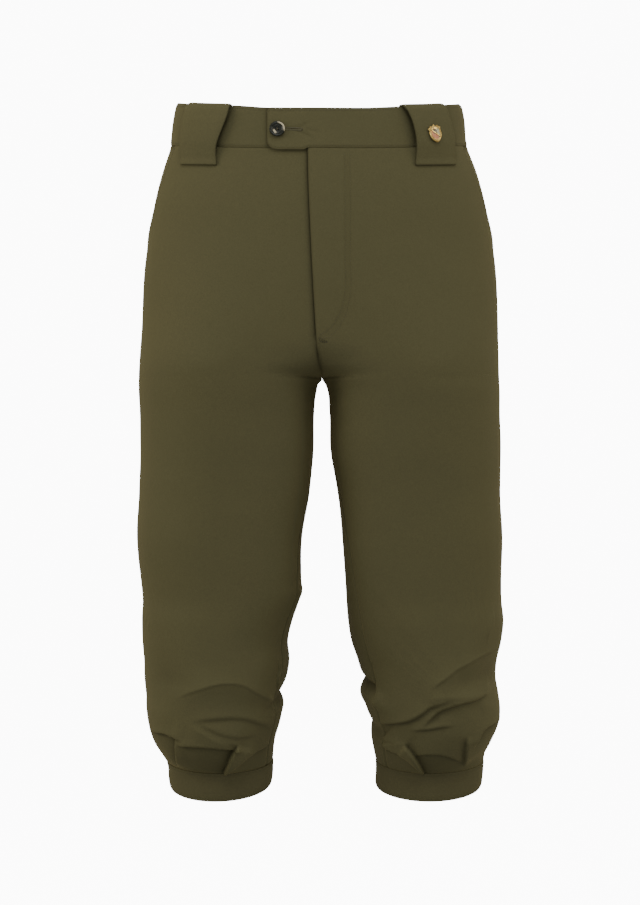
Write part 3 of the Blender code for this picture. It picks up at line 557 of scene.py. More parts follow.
def add_piece(name, mesh, surface, *stands_for, slot=None):
    """Puts a finished mesh in the scene on the root body, in the place of the CAD nodes it stands for."""
    piece = bpy.data.objects.new(name, mesh)
    bpy.context.scene.collection.objects.link(piece)
    mesh.materials.append(surface)
    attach(piece, "root")
    if stands_for:
        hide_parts(*stands_for)
    return piece


def cloth_sheet(name, points, uv, wall, surface, node, closed=False, painted_shading=None):
    """A sheet of cloth: a grid skin with a wall added on its inner side, in the place of its CAD node."""
    piece = add_piece(name, grid_mesh(name, points, uv, closed, painted_shading), surface, node)
    solid = piece.modifiers.new("wall", "SOLIDIFY")
    solid.thickness, solid.offset = wall, -1.0
    return piece


def edge_shares(count, *fine):
    """Shares from 0 to 1 across a piece: even, with finer ones beside both of its edges."""
    fine = np.array(fine)
    even = np.linspace(2 * fine[-1] - fine[-2], 1 - 2 * fine[-1] + fine[-2], count)
    return np.concatenate([fine, even, 1 - fine[::-1]])


BAND_ROWS = edge_shares(22, 0.0, 0.010, 0.026, 0.050, 0.085)
CUFF_ROWS = edge_shares(16, 0.0, 0.014, 0.036, 0.07, 0.12)


def fly_width(level):
    """How far past the centre the left front reaches: wide at the waistband, and nothing at the crotch."""
    share = np.clip((BAND_FOOT - level) / (BAND_FOOT - FLY_FOOT), 0.0, 1.0) ** 1.5
    foot = 1.0 - smoothstep((FLY_FOOT - level) / (FLY_FOOT - CROTCH))
    return (FLY_TOP_WIDTH + (FLY_FOOT_WIDTH - FLY_TOP_WIDTH) * share) * foot


def pocket_set(level):
    """How far ahead of the side seam the front's pocket edge is: nothing below the pocket."""
    share = np.clip((BAND_FOOT - level) / (BAND_FOOT - POCKET_FOOT), 0.0, 1.0)
    mouth = POCKET_SET + (POCKET_END_SET - POCKET_SET) * share**2.6
    return mouth * (1.0 - smoothstep((POCKET_FOOT - level + 0.0008) / 0.0022)) + SEAM_GAP / 2


TUCK = 0.0036


def panel_levels(coarse, fine):
    """A panel's rows, from under the waistband to under the cuff: finest at the seams and over the knee."""
    start, knee, foot = BAND_FOOT, -0.570, CUFF_TOP
    near = np.array([0.0003, 0.0008, 0.0015, 0.0025, 0.0038])
    under = np.array([TUCK, 0.0018, 0.0009, 0.0003, 0.0])
    body = np.arange(start - 0.0060, knee, -coarse)
    body = np.sort(np.concatenate([body, body[(body > -0.295) & (body < -0.245)] + coarse / 2]))[::-1]
    lower = np.arange(body[-1] - fine, foot + 0.0042, -fine)
    return np.concatenate([start + under, start - near, body, lower, foot + near[::-1], foot - under[::-1]])


Base = namedtuple("Base", "levels shares starts ends reach points normals")


def panel_base(side, half, coarse, fine, count):
    """A panel's grid on the plain form, before its creases.

    Its columns are even shares s of the width, but the width e that the crotch adds within 60 mm is taken up
    beside the middle seam, as e s^4, so that the columns further out run on straight.
    """
    levels = panel_levels(coarse, fine)
    full, lip = widths(side, half, levels), fly_width(levels)
    start = np.full(len(levels), SEAM_GAP / 2)
    if half == FRONT:
        under = smoothstep((levels - FLY_FOOT - 0.001) / 0.006)
        start = -lip if side == LEFT else lip * (1.0 - under) + SEAM_GAP / 2
    end = full - (pocket_set(levels) if half == FRONT else SEAM_GAP / 2)
    shares = edge_shares(count, 0.0, 0.0016, 0.0036, 0.0062, 0.0095, 0.0140)
    foot, top = widths(side, half, [CROTCH, CROTCH + CROTCH_SPREAD])
    even = top + (foot - top) * smoothstep(1.0 - (levels - CROTCH) / CROTCH_SPREAD)
    extra = np.where((levels > CROTCH) & (levels < CROTCH + CROTCH_SPREAD), full - even, 0.0)[:, None]
    from_side = 1.0 - shares
    reach = end[:, None] - ((end - start)[:, None] - extra) * from_side - extra * from_side**4
    reach = left_to_right(side, half, reach)
    points = cloth_points(side, half, levels, reach)
    return Base(levels, shares, start, end, reach, points, outward(points))


def panel(side, half, base, lines, surface):
    """One of the four body and leg panels, with its creases, its fly or pocket edge and its sunk seams.

    A seam sinks 0.9 mm exp(-(d/1.6 mm)^2), and the ends go 3.6 mm on under the waistband and the cuff.
    """
    level = base.levels[:, None]
    starts, ends = base.starts[:, None], base.ends[:, None]
    from_middle, from_side = base.reach - starts, ends - base.reach
    from_top, from_foot = BAND_FOOT - level, level - CUFF_TOP
    lift, shift, painted_shade = crease_moves(base, side, lines)
    # painted highlight on the creases' crests, and painted shade in their troughs and beside pleats' edges
    painted_shading = lift / 0.010 - painted_shade
    keep = smoothstep(from_foot / 0.008 + 0.30)
    lift = (lift + sway(base.points, SWAY)) * keep * smoothstep(from_top / 0.03)
    shift = shift * (keep * smoothstep(from_foot / 0.005 + 0.1))[..., None]
    above = smoothstep((level - CROTCH - 0.008) / 0.030)
    on_leg = smoothstep((CROTCH - 0.003 - level) / 0.012) + (above if half == BACK else 0.0)
    lift = lift * (1.0 - 0.95 * bell(level - CROTCH, 0.022) * bell(from_middle, 0.02))
    if half == FRONT:
        centre = smoothstep((FLY_FOOT - level) / 0.02) * smoothstep((level - CROTCH) / 0.003)
        lift = lift - 0.0010 * centre * above * bell(from_middle, 0.0030)
        # painted shade along the middle seam between the fly's foot and the crotch
        painted_shading = painted_shading - 0.9 * centre * fade(from_middle, 0.0022)
    seam = SEAM_DEPTH * bell(from_middle, SEAM_WIDTH) * on_leg
    seam = seam + SEAM_DEPTH * bell(from_side, SEAM_WIDTH) * ((level < POCKET_FOOT) | (half == BACK))
    seam = seam + 0.0005 * bell(from_top, 0.0014) * (from_top > 0)
    seam = seam + 0.0011 * bell(from_foot, 0.0018) * (from_foot > 0)
    seam = seam + (0.0005 + 0.0024 * smoothstep(-from_top / 0.0018)) * (from_top <= 0)
    seam = seam + (0.0011 + 0.0020 * smoothstep(-from_foot / 0.0018)) * (from_foot <= 0)
    lift = lift - seam
    if (side, half) == (LEFT, FRONT):
        over = (1.0 - smoothstep(base.reach / FLY_RAMP)) * smoothstep(1.0 - (FLY_FOOT - level) / FLY_FADE)
        lift = lift + (CLOTH + CLEARANCE + 0.0006) * over - 0.0008 * fade(from_middle, 0.0014) * over
        # painted shadow along the fly's edge
        painted_shading = painted_shading - 0.9 * fade(from_middle, 0.0008) * smoothstep(over * 3)
    if (side, half) == (RIGHT, FRONT):
        from_lip = np.clip(base.reach - fly_width(level), 0.0, None)
        beside = fade(from_lip, 0.0018) * smoothstep((level - FLY_FOOT) / 0.004)
        # the right front dips beside the fly's edge, and painted shadow darkens it there
        lift, painted_shading = lift - 0.0007 * beside, painted_shading - 1.2 * beside
    if half == FRONT:
        mouth = smoothstep((level - POCKET_FOOT) / 0.02) * smoothstep(from_top / 0.02)
        lift = lift + (0.0016 * fade(from_side, 0.012) - 0.0010 * fade(from_side, 0.0012)) * mouth
        # painted shade along the pocket's edge
        painted_shading = painted_shading - 1.2 * fade(from_side, 0.0013) * mouth
    points = base.points + base.normals * lift[..., None] + shift
    name = f"{HALF_NAMES[half]}_{SIDE_NAMES[side]}"
    uv = np.stack([base.reach, np.broadcast_to(level, base.reach.shape)], -1)
    piece = cloth_sheet(f"{name}_cloth", points, uv, CLOTH, surface, name, painted_shading=painted_shading)
    return Panel(piece, points, outward(points), base.levels, base.shares, base.starts, base.ends - base.starts)


def on_panel(made, side, half, level, reach):
    """Points and normals of a finished panel at these levels and reaches, by reading its grid bilinearly."""
    level, reach = np.broadcast_arrays(np.asarray(level, float), np.asarray(reach, float))
    row = np.interp(-level, -made.levels, np.arange(len(made.levels)))
    start, span = (np.interp(-level, -made.levels, v) for v in (made.starts, made.spans))
    column = np.interp((reach - start) / span, made.shares, np.arange(len(made.shares)))
    if side * half > 0:
        column = len(made.shares) - 1 - column
    i = np.clip(row.astype(int), 0, len(made.levels) - 2)
    j = np.clip(column.astype(int), 0, len(made.shares) - 2)
    t, s = (row - i)[:, None], (column - j)[:, None]
    return tuple(between_points(grid, i, j, t, s) for grid in (made.points, made.normals))


def rows_uv(points):
    """A uv in metres for a small grid: lengths along its middle row and its middle column."""
    middle_row = points[len(points) // 2]
    middle_column = points[:, points.shape[1] // 2]
    u = run_along(middle_row)
    v = -run_along(middle_column)
    return np.stack(np.meshgrid(u, v), -1)


def pocket_side(side, surface):
    """The strip behind the pocket's edge: level with the back at the side seam, sinking under the front."""
    start, foot = BAND_FOOT - SEAM_GAP, POCKET_FOOT + 0.0012
    levels = np.linspace(start, foot, 70)
    full, mouth = widths(side, FRONT, levels)[:, None], pocket_set(levels)[:, None]
    ramp = mouth - POCKET_END_SET / 3
    shares = np.linspace(0.0, 1.0, 26)
    ahead = SEAM_GAP / 2 + (mouth + FACING_UNDERLAP) * shares[::-1]
    lift = -FACING_DROP * smoothstep(ahead / ramp) - 0.0009 * bell(ahead, 0.0016)
    points = cloth_points(side, FRONT, levels, full - ahead, lift)
    points = left_to_right(side, FRONT, points)
    name = f"pocket_side_{SIDE_NAMES[side]}"
    # painted shade on the strip where it runs under the front's pocket edge
    painted_shade = -1.3 * smoothstep(1.0 - np.clip(mouth - ahead, 0.0, None) / 0.012)
    painted_shading = left_to_right(side, FRONT, painted_shade)
    return cloth_sheet(f"{name}_cloth", points, rows_uv(points), CLOTH, surface, name, painted_shading=painted_shading)


def round_corner(away, radius):
    """How far a round corner of this radius has cut in, at this distance from the tip: r - sqrt(r^2-(r-a)^2)."""
    return radius - np.sqrt(np.maximum(radius**2 - np.clip(radius - away, 0.0, radius) ** 2, 0.0))


# the tab's dents beside its buttonhole: how far across and up in millimetres, their turn, and their depth in mm,
# which also sets each dent's painted shade
TAB_DENTS = [
    (-24, -3, -0.35, 0.5), (-14, -7, -0.5, 0.35), (-29, 0, 0.1, 0.45), (-18, 4, 0.4, 0.35), (-9, -2, -0.2, 0.3),
]
# how deep, and how far to each side, a row of stitching draws the band and the cuffs in
STITCH_DIP, STITCH_SPREAD = 0.00022, 0.0007


def waistband(side, surface):
    """Half of the waistband, and on the left the tab that carries on past the fly to its button."""
    middle = (BAND_TOP + BAND_FOOT) / 2
    front, back = widths(side, FRONT, [middle])[0], widths(side, BACK, [middle])[0]
    first = SEAM_GAP / 2
    if side == LEFT:
        bend = 0.5 - 0.5 * np.cos(np.linspace(0.0, np.pi / 2, 12))
        tip = -TAB_TIP + 0.0003 + 0.0135 * bend / bend[-1]
        ahead = np.concatenate([[-TAB_TIP], tip, np.linspace(tip[-1] + 0.0015, 0.0, 32)])
    else:
        ahead = np.array([first, 0.001, 0.002])
    around = np.linspace(ahead[-1] + 0.0015, front, 130)
    front_reach = np.concatenate([ahead, around])
    past = np.minimum(front_reach, 0.0)
    away = TAB_TIP + past
    drop = TAB_DROP * smoothstep((-past - FLY_TOP_WIDTH - SEAM_GAP) / 0.004)
    rise = BAND_RISE[side] * smoothstep((front_reach - 0.050) / 0.045)
    top = BAND_TOP + rise - (round_corner(away, TAB_TOP_CORNER) if side == LEFT else 0.0)
    foot = BAND_FOOT - drop + (round_corner(away, TAB_FOOT_CORNER) if side == LEFT else 0.0)
    shares = BAND_ROWS[:, None]
    level = top + (foot - top) * shares
    over = (1.0 - smoothstep(front_reach / FLY_RAMP)) * (side == LEFT)
    lift = BAND_LIFT + (BAND_CLOTH + CLEARANCE) * over + 0.0 * level
    fitted = widths(side, FRONT, level[:, -1])[:, None] / front
    stretch = 1 + (fitted - 1) * smoothstep((front_reach - 0.02) / 0.05)
    reach = np.where(front_reach > 0.02, front_reach * stretch, front_reach)
    front_points = cloth_points(side, FRONT, level, reach, lift)
    back_reach = np.concatenate([np.linspace(0.0, 1.0, 131)[1:][::-1] * back, [first]])
    back_top = BAND_TOP + BAND_RISE[side] * smoothstep(1.0 - (back - back_reach) / 0.080)
    back_level = back_top + (BAND_FOOT - back_top) * shares
    scale = (widths(side, BACK, back_level[:, 0]) / back)[:, None]
    back_points = cloth_points(side, BACK, back_level, back_reach * scale, BAND_LIFT)
    points = np.concatenate([front_points, back_points[:, 1:]], axis=1)
    ordered = left_to_right(side, FRONT, points)
    normals = outward(ordered)
    height = (BAND_TOP - BAND_FOOT) * shares
    up, down = height, (BAND_TOP - BAND_FOOT) - height
    roll = -0.0010 * fade(up, 0.0012) - 0.0009 * bell(down, 0.0013)
    roll = roll - STITCH_DIP * bell(up - 0.0030, STITCH_SPREAD) - STITCH_DIP * bell(down - 0.0026, STITCH_SPREAD)
    roll = roll + sway(ordered, SWAY) * smoothstep(up / 0.004) * smoothstep(down / 0.006)
    run = np.concatenate([front_reach, front + back - back_reach[1:]])
    run = left_to_right(side, FRONT, np.broadcast_to(run, ordered.shape[:2]))
    beside = bell(run - front, 0.045)
    bulge = 0.0015 * np.sin(np.pi * np.clip(shares, 0, 1)) ** 1.5
    roll = roll + beside * (bulge - BAND_CORNER[side] * fade(up, 0.0018))
    edges = FRONT_LOOPS[side]
    inner = edges.inner_top + (edges.inner_foot - edges.inner_top) * smoothstep(1.15 * shares) ** edges.flare
    outer = edges.outer_top + (edges.outer_foot - edges.outer_top) * shares
    across = np.abs(ordered[..., 0])
    # nearness to the front loops' edges: the band dips there and gets painted shadow
    beside_loop_edges = sum(fade(np.abs(across - edge), 0.0022) for edge in (inner, outer)) * (ordered[..., 1] < 0)
    roll = roll - 0.0005 * beside_loop_edges
    # painted shadow beside the loops' edges, and painted shade along the band's top edge and a little along its foot
    painted_shading = -0.9 * beside_loop_edges - 0.9 * fade(up, 0.0006) - 0.2 * fade(down, 0.0007)
    if side == LEFT:
        end = np.concatenate([away, np.full(points.shape[1] - len(away), 1.0)])
        end = left_to_right(side, FRONT, np.broadcast_to(end, ordered.shape[:2]))
        roll = roll - 0.0008 * fade(end, 0.0012)
        where = seen(ordered, FRONT)
        for x_mm, z_mm, turn, size in TAB_DENTS:
            turned = np.array([[np.cos(turn), -np.sin(turn)], [np.sin(turn), np.cos(turn)]])
            gap = (where - np.array([x_mm, z_mm]) * MM) @ turned
            dent = np.exp(-((gap[..., 0] / 0.007) ** 2) - (gap[..., 1] / 0.0013) ** 2)
            # each dent dips the tab and gets painted shade in proportion to its depth
            roll, painted_shading = roll - size * MM * dent, painted_shading - 0.8 * size * dent
        # painted shadow along the tab's end
        painted_shading = painted_shading - 0.9 * fade(end, 0.0008)
    else:
        # painted shadow on the right half of the band beside the tab's tip
        painted_shading = painted_shading - 0.9 * fade(np.abs(across - TAB_TIP), 0.0016) * (ordered[..., 1] < 0)
    points = ordered + normals * roll[..., None]
    name = f"waistband_{SIDE_NAMES[side]}"
    all_levels = left_to_right(side, FRONT, np.concatenate([level, back_level[:, 1:]], axis=1))
    uv = np.stack([run, all_levels], -1)
    piece = cloth_sheet(f"{name}_cloth", points, uv, BAND_CLOTH, surface, name, painted_shading=painted_shading)
    return piece, points


def cuff(side, surface):
    """A closed band round the leg under the knee, a little uneven, with its edges rolled in."""
    shares = CUFF_ROWS[:, None]
    level = CUFF_TOP + (CUFF_FOOT - CUFF_TOP) * shares
    turn = np.linspace(0.0, 1.0, 151)
    front, back = (
        cloth_points(side, half, level[:, 0], turn * widths(side, half, level[:, 0])[:, None], BAND_LIFT)
        for half in (FRONT, BACK)
    )
    ring = np.concatenate([front, back[:, -2:0:-1]], axis=1)
    ordered = left_to_right(side, FRONT, ring)
    around = np.concatenate([ordered[:, -1:], ordered, ordered[:, :1]], axis=1)
    normals = outward(around)[:, 1:-1]
    height = (CUFF_TOP - CUFF_FOOT) * shares
    up, down = height, (CUFF_TOP - CUFF_FOOT) - height
    roll = -0.0008 * fade(up, 0.0012) - 0.0010 * fade(down, 0.0014)
    roll = roll - STITCH_DIP * bell(up - 0.0022, STITCH_SPREAD) - STITCH_DIP * bell(down - 0.0030, STITCH_SPREAD)
    roll = roll + sway(ordered, 0.0008) * (0.4 + 0.6 * smoothstep(down / 0.01))
    points = ordered + normals * roll[..., None]
    name = f"cuff_{SIDE_NAMES[side]}"
    lengths = run_along(points[0])
    uv = np.stack(np.broadcast_arrays(np.linspace(0.0, lengths[-1], len(lengths)), level), -1)
    # painted shade along the cuff's top edge
    painted_shading = -0.2 * fade(up, 0.0006) + 0.0 * ordered[..., 0]
    return cloth_sheet(f"{name}_cloth", points, uv, BAND_CLOTH, surface, name, closed=True, painted_shading=painted_shading), points


LoopPoint = namedtuple("LoopPoint", "level stand")
LOOP_SECTION = [LoopPoint(*row) for row in [
    (0.0080, -0.0054),
    (0.0180, -0.0056),
    (0.0250, -0.0053),
    (0.0274, -0.0040),
    (0.0284, -0.0010),
    (0.0277, 0.0022),
    (0.0240, 0.0058),
    (0.0140, 0.0084),
    (0.0000, 0.0092),
    (-0.0150, 0.0084),
    (-0.0270, 0.0056),
    (-0.0345, 0.0036),
    (-0.0410, 0.0030),
]]
LoopEdges = namedtuple("LoopEdges", "inner_top inner_foot outer_top outer_foot flare")
FRONT_LOOPS = {
    RIGHT: LoopEdges(0.0948, 0.1092, 0.1400, 0.1490, 1.0),
    LEFT: LoopEdges(0.0850, 0.1008, 0.1310, 0.1450, 0.30),
}
BACK_LOOP_TOP, BACK_LOOP_FOOT = 0.0580, 0.0460


def loop_rows():
    """The loop's section as smooth, evenly spaced rows: level, stand, and the share of the way down its outside."""
    section = np.array(LOOP_SECTION)
    steps = run_along(section)
    at = edge_shares(70, 0.0, 0.006, 0.014, 0.024) * steps[-1]
    rows = smooth_curve(at, steps, section)
    share = np.clip((LOOP_SECTION[4].level - rows[:, 0]) / (LOOP_SECTION[4].level - LOOP_SECTION[-1].level), 0.0, 1.0)
    share = np.where(at > steps[4], share, 0.0)
    return rows[:, 0], rows[:, 1], share, steps[-1] - at


def loop_roll(across, width, from_foot):
    """The loop's edges roll in: -0.9 mm exp(-d/1.3 mm) at each side, and a stitched dip inside each edge."""
    near = np.minimum(across, 1.0 - across) * width
    dip = 0.0002 * bell(near - 0.0028, 0.0007)
    return -0.0009 * fade(near, 0.0013) - dip - 0.0007 * fade(from_foot, 0.0013)


def front_loop(side, surface):
    """A wide tapered belt loop, folded over the waistband and standing off it."""
    edges = FRONT_LOOPS[side]
    level, stand, share, from_foot = loop_rows()
    level = level + (BAND_RISE[side] - 0.0008) * smoothstep((level - BAND_TOP + 0.006) / 0.006)
    inner = edges.inner_top + (edges.inner_foot - edges.inner_top) * smoothstep(1.15 * share) ** edges.flare
    outer = edges.outer_foot + (edges.outer_top - edges.outer_foot) * (1.0 - share)
    ends = np.array([[reach_at(side, FRONT, one, x) for x in pair] for one, pair in zip(level, zip(inner, outer))])
    across = edge_shares(30, 0.0, 0.008, 0.02, 0.036, 0.056)
    reach = ends[:, :1] + (ends[:, 1:] - ends[:, :1]) * across
    points = cloth_points(side, FRONT, level, reach, stand[:, None])
    width = (ends[:, 1:] - ends[:, :1])
    ordered = left_to_right(side, FRONT, points)
    roll = left_to_right(side, FRONT, loop_roll(across[None], width, from_foot[:, None]))
    roll = roll + sway(ordered, SWAY)
    points = ordered + outward(ordered) * roll[..., None]
    near = left_to_right(side, FRONT, np.minimum(across, 1.0 - across)[None] * width)
    # painted shade along the loop's edges and its sewn foot
    painted_shading = -0.9 * fade(near, 0.0007) - 0.6 * fade(from_foot[:, None], 0.0007)
    name = f"belt_loop_front_{SIDE_NAMES[side]}"
    return cloth_sheet(f"{name}_cloth", points, rows_uv(points), LOOP_CLOTH, surface, name, painted_shading=painted_shading)


def back_loop(surface):
    """The same loop over the centre back seam."""
    level, stand, share, from_foot = loop_rows()
    half_width = (BACK_LOOP_TOP + (BACK_LOOP_FOOT - BACK_LOOP_TOP) * share[:, None]) / 2
    across = edge_shares(36, 0.0, 0.008, 0.02, 0.036, 0.056)
    reach = half_width * (2 * across - 1)
    ordered = cloth_points(RIGHT, BACK, level, reach, stand[:, None])
    roll = loop_roll(across[None], 2 * half_width, from_foot[:, None]) + sway(ordered, SWAY)
    points = ordered + outward(ordered) * roll[..., None]
    return cloth_sheet("belt_loop_back_cloth", points, rows_uv(points), LOOP_CLOTH, surface, "belt_loop_back")


# ------------------------------------------------------------------ stitching
def closed_faces(count, around, poles, first=0, bases=0):
    """A closed body's faces, as all their corners in one list and where each face starts. The body is this many
    rings of points, numbered from first, with a fan of triangles from each of its two poles to the ring beside
    it, and it is made again from each number in bases."""
    ring = first + np.arange(around)
    last = ring + (count - 1) * around
    fans = np.concatenate([
        np.stack([np.full(around, poles[0]), ring, np.roll(ring, -1)], 1),
        np.stack([np.full(around, poles[1]), np.roll(last, -1), last], 1),
    ])
    each = np.atleast_1d(bases)[:, None, None]
    quads = (first + grid_quads(count, around, ring=True) + each).reshape(-1, 4)
    fans = (fans + each).reshape(-1, 3)
    corners = np.concatenate([quads.reshape(-1), fans.reshape(-1)])
    return corners, np.concatenate([np.arange(len(quads)) * 4, quads.size + np.arange(len(fans)) * 3])


def lie_on(points, normals, half, track, count):
    """Points and normals of a surface along a track drawn in the seen plane: means weighted by exp(-(d/1.6 mm)^2)."""
    flat, facing = points.reshape(-1, 3), normals.reshape(-1, 3)
    where, line = seen(flat, half), track_curve(track, count)
    weight = np.exp(-np.sum((where[None] - line[:, None]) ** 2, -1) / 0.0016**2) + 1e-30
    total = weight.sum(1)[:, None]
    at, out = weight @ flat / total, weight @ facing / total
    return at, out / np.linalg.norm(out, axis=1, keepdims=True)


def grid_line(points, shares, share):
    """The line across a grid at this share of the way down it, with its normals."""
    normals = outward(points)
    row = np.interp(share, shares, np.arange(len(shares)))
    low = min(int(row), len(points) - 2)
    t = row - low
    return tuple(g[low] * (1 - t) + g[low + 1] * t for g in (points, normals))


def stitches(name, lines, surface, slot, pitch_mm=2.9, length_mm=2.2, radius_mm=0.2):
    """A row of thread stitches along each line: each a low arch of thread that dips into the cloth at its ends.

    Round the thread, ring k of a stitch is at length * (k/5 - 1/2) with radius r sqrt(1 - (2k/5 - 1)^2).
    """
    pitch, length, radius = pitch_mm * MM, length_mm * MM, radius_mm * MM
    centres, ways, outs = [], [], []
    for at, out in lines:
        step = run_along(at)
        count = max(1, int(step[-1] / pitch))
        middle = (np.arange(count) + 0.5) * step[-1] / count
        read = [
            np.stack([np.interp(middle + off, step, v[:, k]) for k in range(3)], 1)
            for v in (at, out)
            for off in (-0.4 * length, 0.4 * length)
        ]
        centres.append((read[0] + read[1]) / 2)
        ways.append(read[1] - read[0])
        outs.append(read[2] + read[3])
    centre, way, out = (np.concatenate(v) for v in (centres, ways, outs))
    way /= np.linalg.norm(way, axis=1, keepdims=True)
    out -= way * np.sum(out * way, 1, keepdims=True)
    out /= np.linalg.norm(out, axis=1, keepdims=True)
    side = np.cross(out, way)
    along, around = np.arange(6) / 5 - 0.5, np.arange(6) / 6 * 2 * np.pi
    thick = radius * np.sqrt(np.maximum(1 - (2 * along) ** 2, 0.0))
    arch = radius * (0.9 - 2.6 * (2 * along) ** 4)
    ring = (
        centre[:, None, None]
        + way[:, None, None] * (along * length)[None, :, None, None]
        + side[:, None, None] * (thick[:, None] * np.cos(around))[None, ..., None]
        + out[:, None, None] * (thick[:, None] * np.sin(around) + arch[:, None])[None, ..., None]
    )
    body = ring[:, 1:-1].reshape(len(centre), -1, 3)
    verts = np.concatenate([body, ring[:, 0, :1], ring[:, -1, :1]], axis=1)
    corners, starts = closed_faces(4, 6, (24, 25), bases=np.arange(len(centre)) * 26)
    rings_uv = np.stack([np.repeat(along[1:-1], 6) * length, np.tile(around, 4) * radius], 1)
    uv = np.concatenate([rings_uv, [[along[0] * length, 0]], [[along[-1] * length, 0]]])
    mesh = shaped_mesh(name, verts.reshape(-1, 3), corners, starts, np.tile(uv, (len(centre), 1))[corners])
    return add_piece(name, mesh, surface, slot=slot)


def frame_at(side, level, reach, lift):
    """A point off the form, with its directions: across to the wearer's left, up the cloth, and straight out."""
    grid = cloth_points(side, FRONT, [level, level + 0.002], np.full((2, 2), reach) + [[0, 0.002]] * 2, lift)
    here, across, up = grid[0, 0], grid[0, 1] - grid[0, 0], grid[1, 0] - grid[0, 0]
    across = across / np.linalg.norm(across)
    across = across if across[0] > 0 else -across
    out = np.cross(across, up)
    out /= np.linalg.norm(out)
    return here, np.stack([across, np.cross(out, across), out])


def disc_mesh(name, place, axes, rim, rings, face, back_height):
    """A closed disc-like solid: a pole and rings of points out to the rim, then its back.

    rim gives the outline's points round the middle, and the face's height at share s of the way out and at
    that turn is face[s, turn]. The back is the same outline drawn in by 8% at back_height.
    """
    turns = len(rim)
    top = np.concatenate([rim[None] * rings[1:, None, None], face[1:, :, None]], axis=-1)
    edge_height = 0.35 * back_height + 0.65 * face[-1].mean()
    back = np.stack([
        np.concatenate([rim * share, np.full((turns, 1), height)], axis=1)
        for share, height in ((0.99, edge_height), (0.90, back_height), (0.45, back_height))
    ])
    poles = [[0.0, 0.0, face[0, 0]]], [[0.0, 0.0, back_height]]
    local = np.concatenate([poles[0], top.reshape(-1, 3), back.reshape(-1, 3), poles[1]])
    corners, starts = closed_faces(len(rings) - 1 + len(back), turns, (0, len(local) - 1), first=1)
    return shaped_mesh(name, place + local @ axes, corners, starts, local[corners][:, :2])


BUTTON_RADIUS, BUTTON_PLACE, BUTTON_LEVEL = 0.0084, 0.0448, 0.0016
HOLE_RADIUS, HOLE_SET = 0.00095, 0.0019
Turned = namedtuple("Turned", "radius height")
BUTTON_SECTION = [Turned(*row) for row in [
    (0.0, 0.0017),
    (0.0036, 0.0017),
    (0.0050, 0.0019),
    (0.0060, 0.0027),
    (0.0071, 0.0031),
    (0.0079, 0.0028),
    (0.0084, 0.0018),
]]


def button(surface, thread):
    """The waist button, turned with a raised rim, with four wells and two crossed threads through them."""
    place, axes = frame_at(LEFT, BUTTON_LEVEL, -BUTTON_PLACE, BAND_LIFT + BAND_CLOTH + 2 * CLEARANCE)
    turns, rings = np.arange(96) / 96 * 2 * np.pi, np.linspace(0.0, 1.0, 60)
    rim = np.stack([np.cos(turns), np.sin(turns)], 1) * BUTTON_RADIUS
    radius = rings * BUTTON_RADIUS
    section = np.array(BUTTON_SECTION)
    height = smooth_curve(radius, section[:, 0], section[:, 1])[:, None] + 0.0 * turns
    spot = rim[None] * rings[:, None, None]
    quarter = np.pi / 4 + np.arange(4) * np.pi / 2
    wells = np.stack([np.cos(quarter), np.sin(quarter)], 1) * HOLE_SET
    away = np.linalg.norm(spot[:, :, None] - wells, axis=-1).min(-1)
    height = height - 0.0012 * (1.0 - smoothstep((away - 0.72 * HOLE_RADIUS) / (0.45 * HOLE_RADIUS)))
    mesh = disc_mesh("button_horn", place, axes, rim, rings, height, 0.0001)
    add_piece("button_horn", mesh, surface, "button_waist")
    lines = []
    for a, b in ((0, 2), (1, 3)):
        share = np.linspace(0.0, 1.0, 20)[:, None]
        flat = wells[a] + (wells[b] - wells[a]) * share
        rise = 0.00175 - 0.0012 * np.abs(2 * share - 1) ** 6 + (0.0003 if a else 0.0)
        lines.append((place + np.hstack([flat, rise]) @ axes, np.tile(axes[2], (20, 1))))
    stitches("button_thread", lines, thread, "button_waist", pitch_mm=6, length_mm=3.9, radius_mm=0.32)


BADGE_WIDTH, BADGE_HEIGHT, BADGE_THICKNESS = 0.0160, 0.0205, 0.0014
BADGE_LEVEL, BADGE_X, BADGE_LEAN = -0.0052, 0.1176, np.radians(9)


def shield_rim(turns):
    """A plain shield's outline by the turn from its middle: a peak over the middle, a lower one over each
    shoulder, and sides that curve in to a point. The same on both sides, and straight between its corners."""
    half, top = BADGE_WIDTH / 16, BADGE_HEIGHT / 20.5
    right = np.array([
        (0, 10.25), (0.8, 8.8), (2.0, 8.0), (3.5, 8.2), (4.8, 8.5), (5.6, 7.3), (6.8, 6.7), (8.0, 6.1), (7.6, 4.2),
        (7.2, 2.2), (7.5, 0.2), (7.6, -1.8), (7.1, -3.8), (5.9, -5.9), (4.2, -7.8), (2.2, -9.4), (0, -10.25),
    ]) * (half, top)
    angle, away = np.arctan2(right[:, 1], right[:, 0]), np.linalg.norm(right, axis=1)
    order = np.argsort(angle)
    mirrored = np.where(np.cos(turns) >= 0, turns, np.pi - turns)
    mirrored = np.arctan2(np.sin(mirrored), np.cos(mirrored))
    return np.interp(mirrored, angle[order], away[order])[:, None] * np.stack([np.cos(turns), np.sin(turns)], 1)


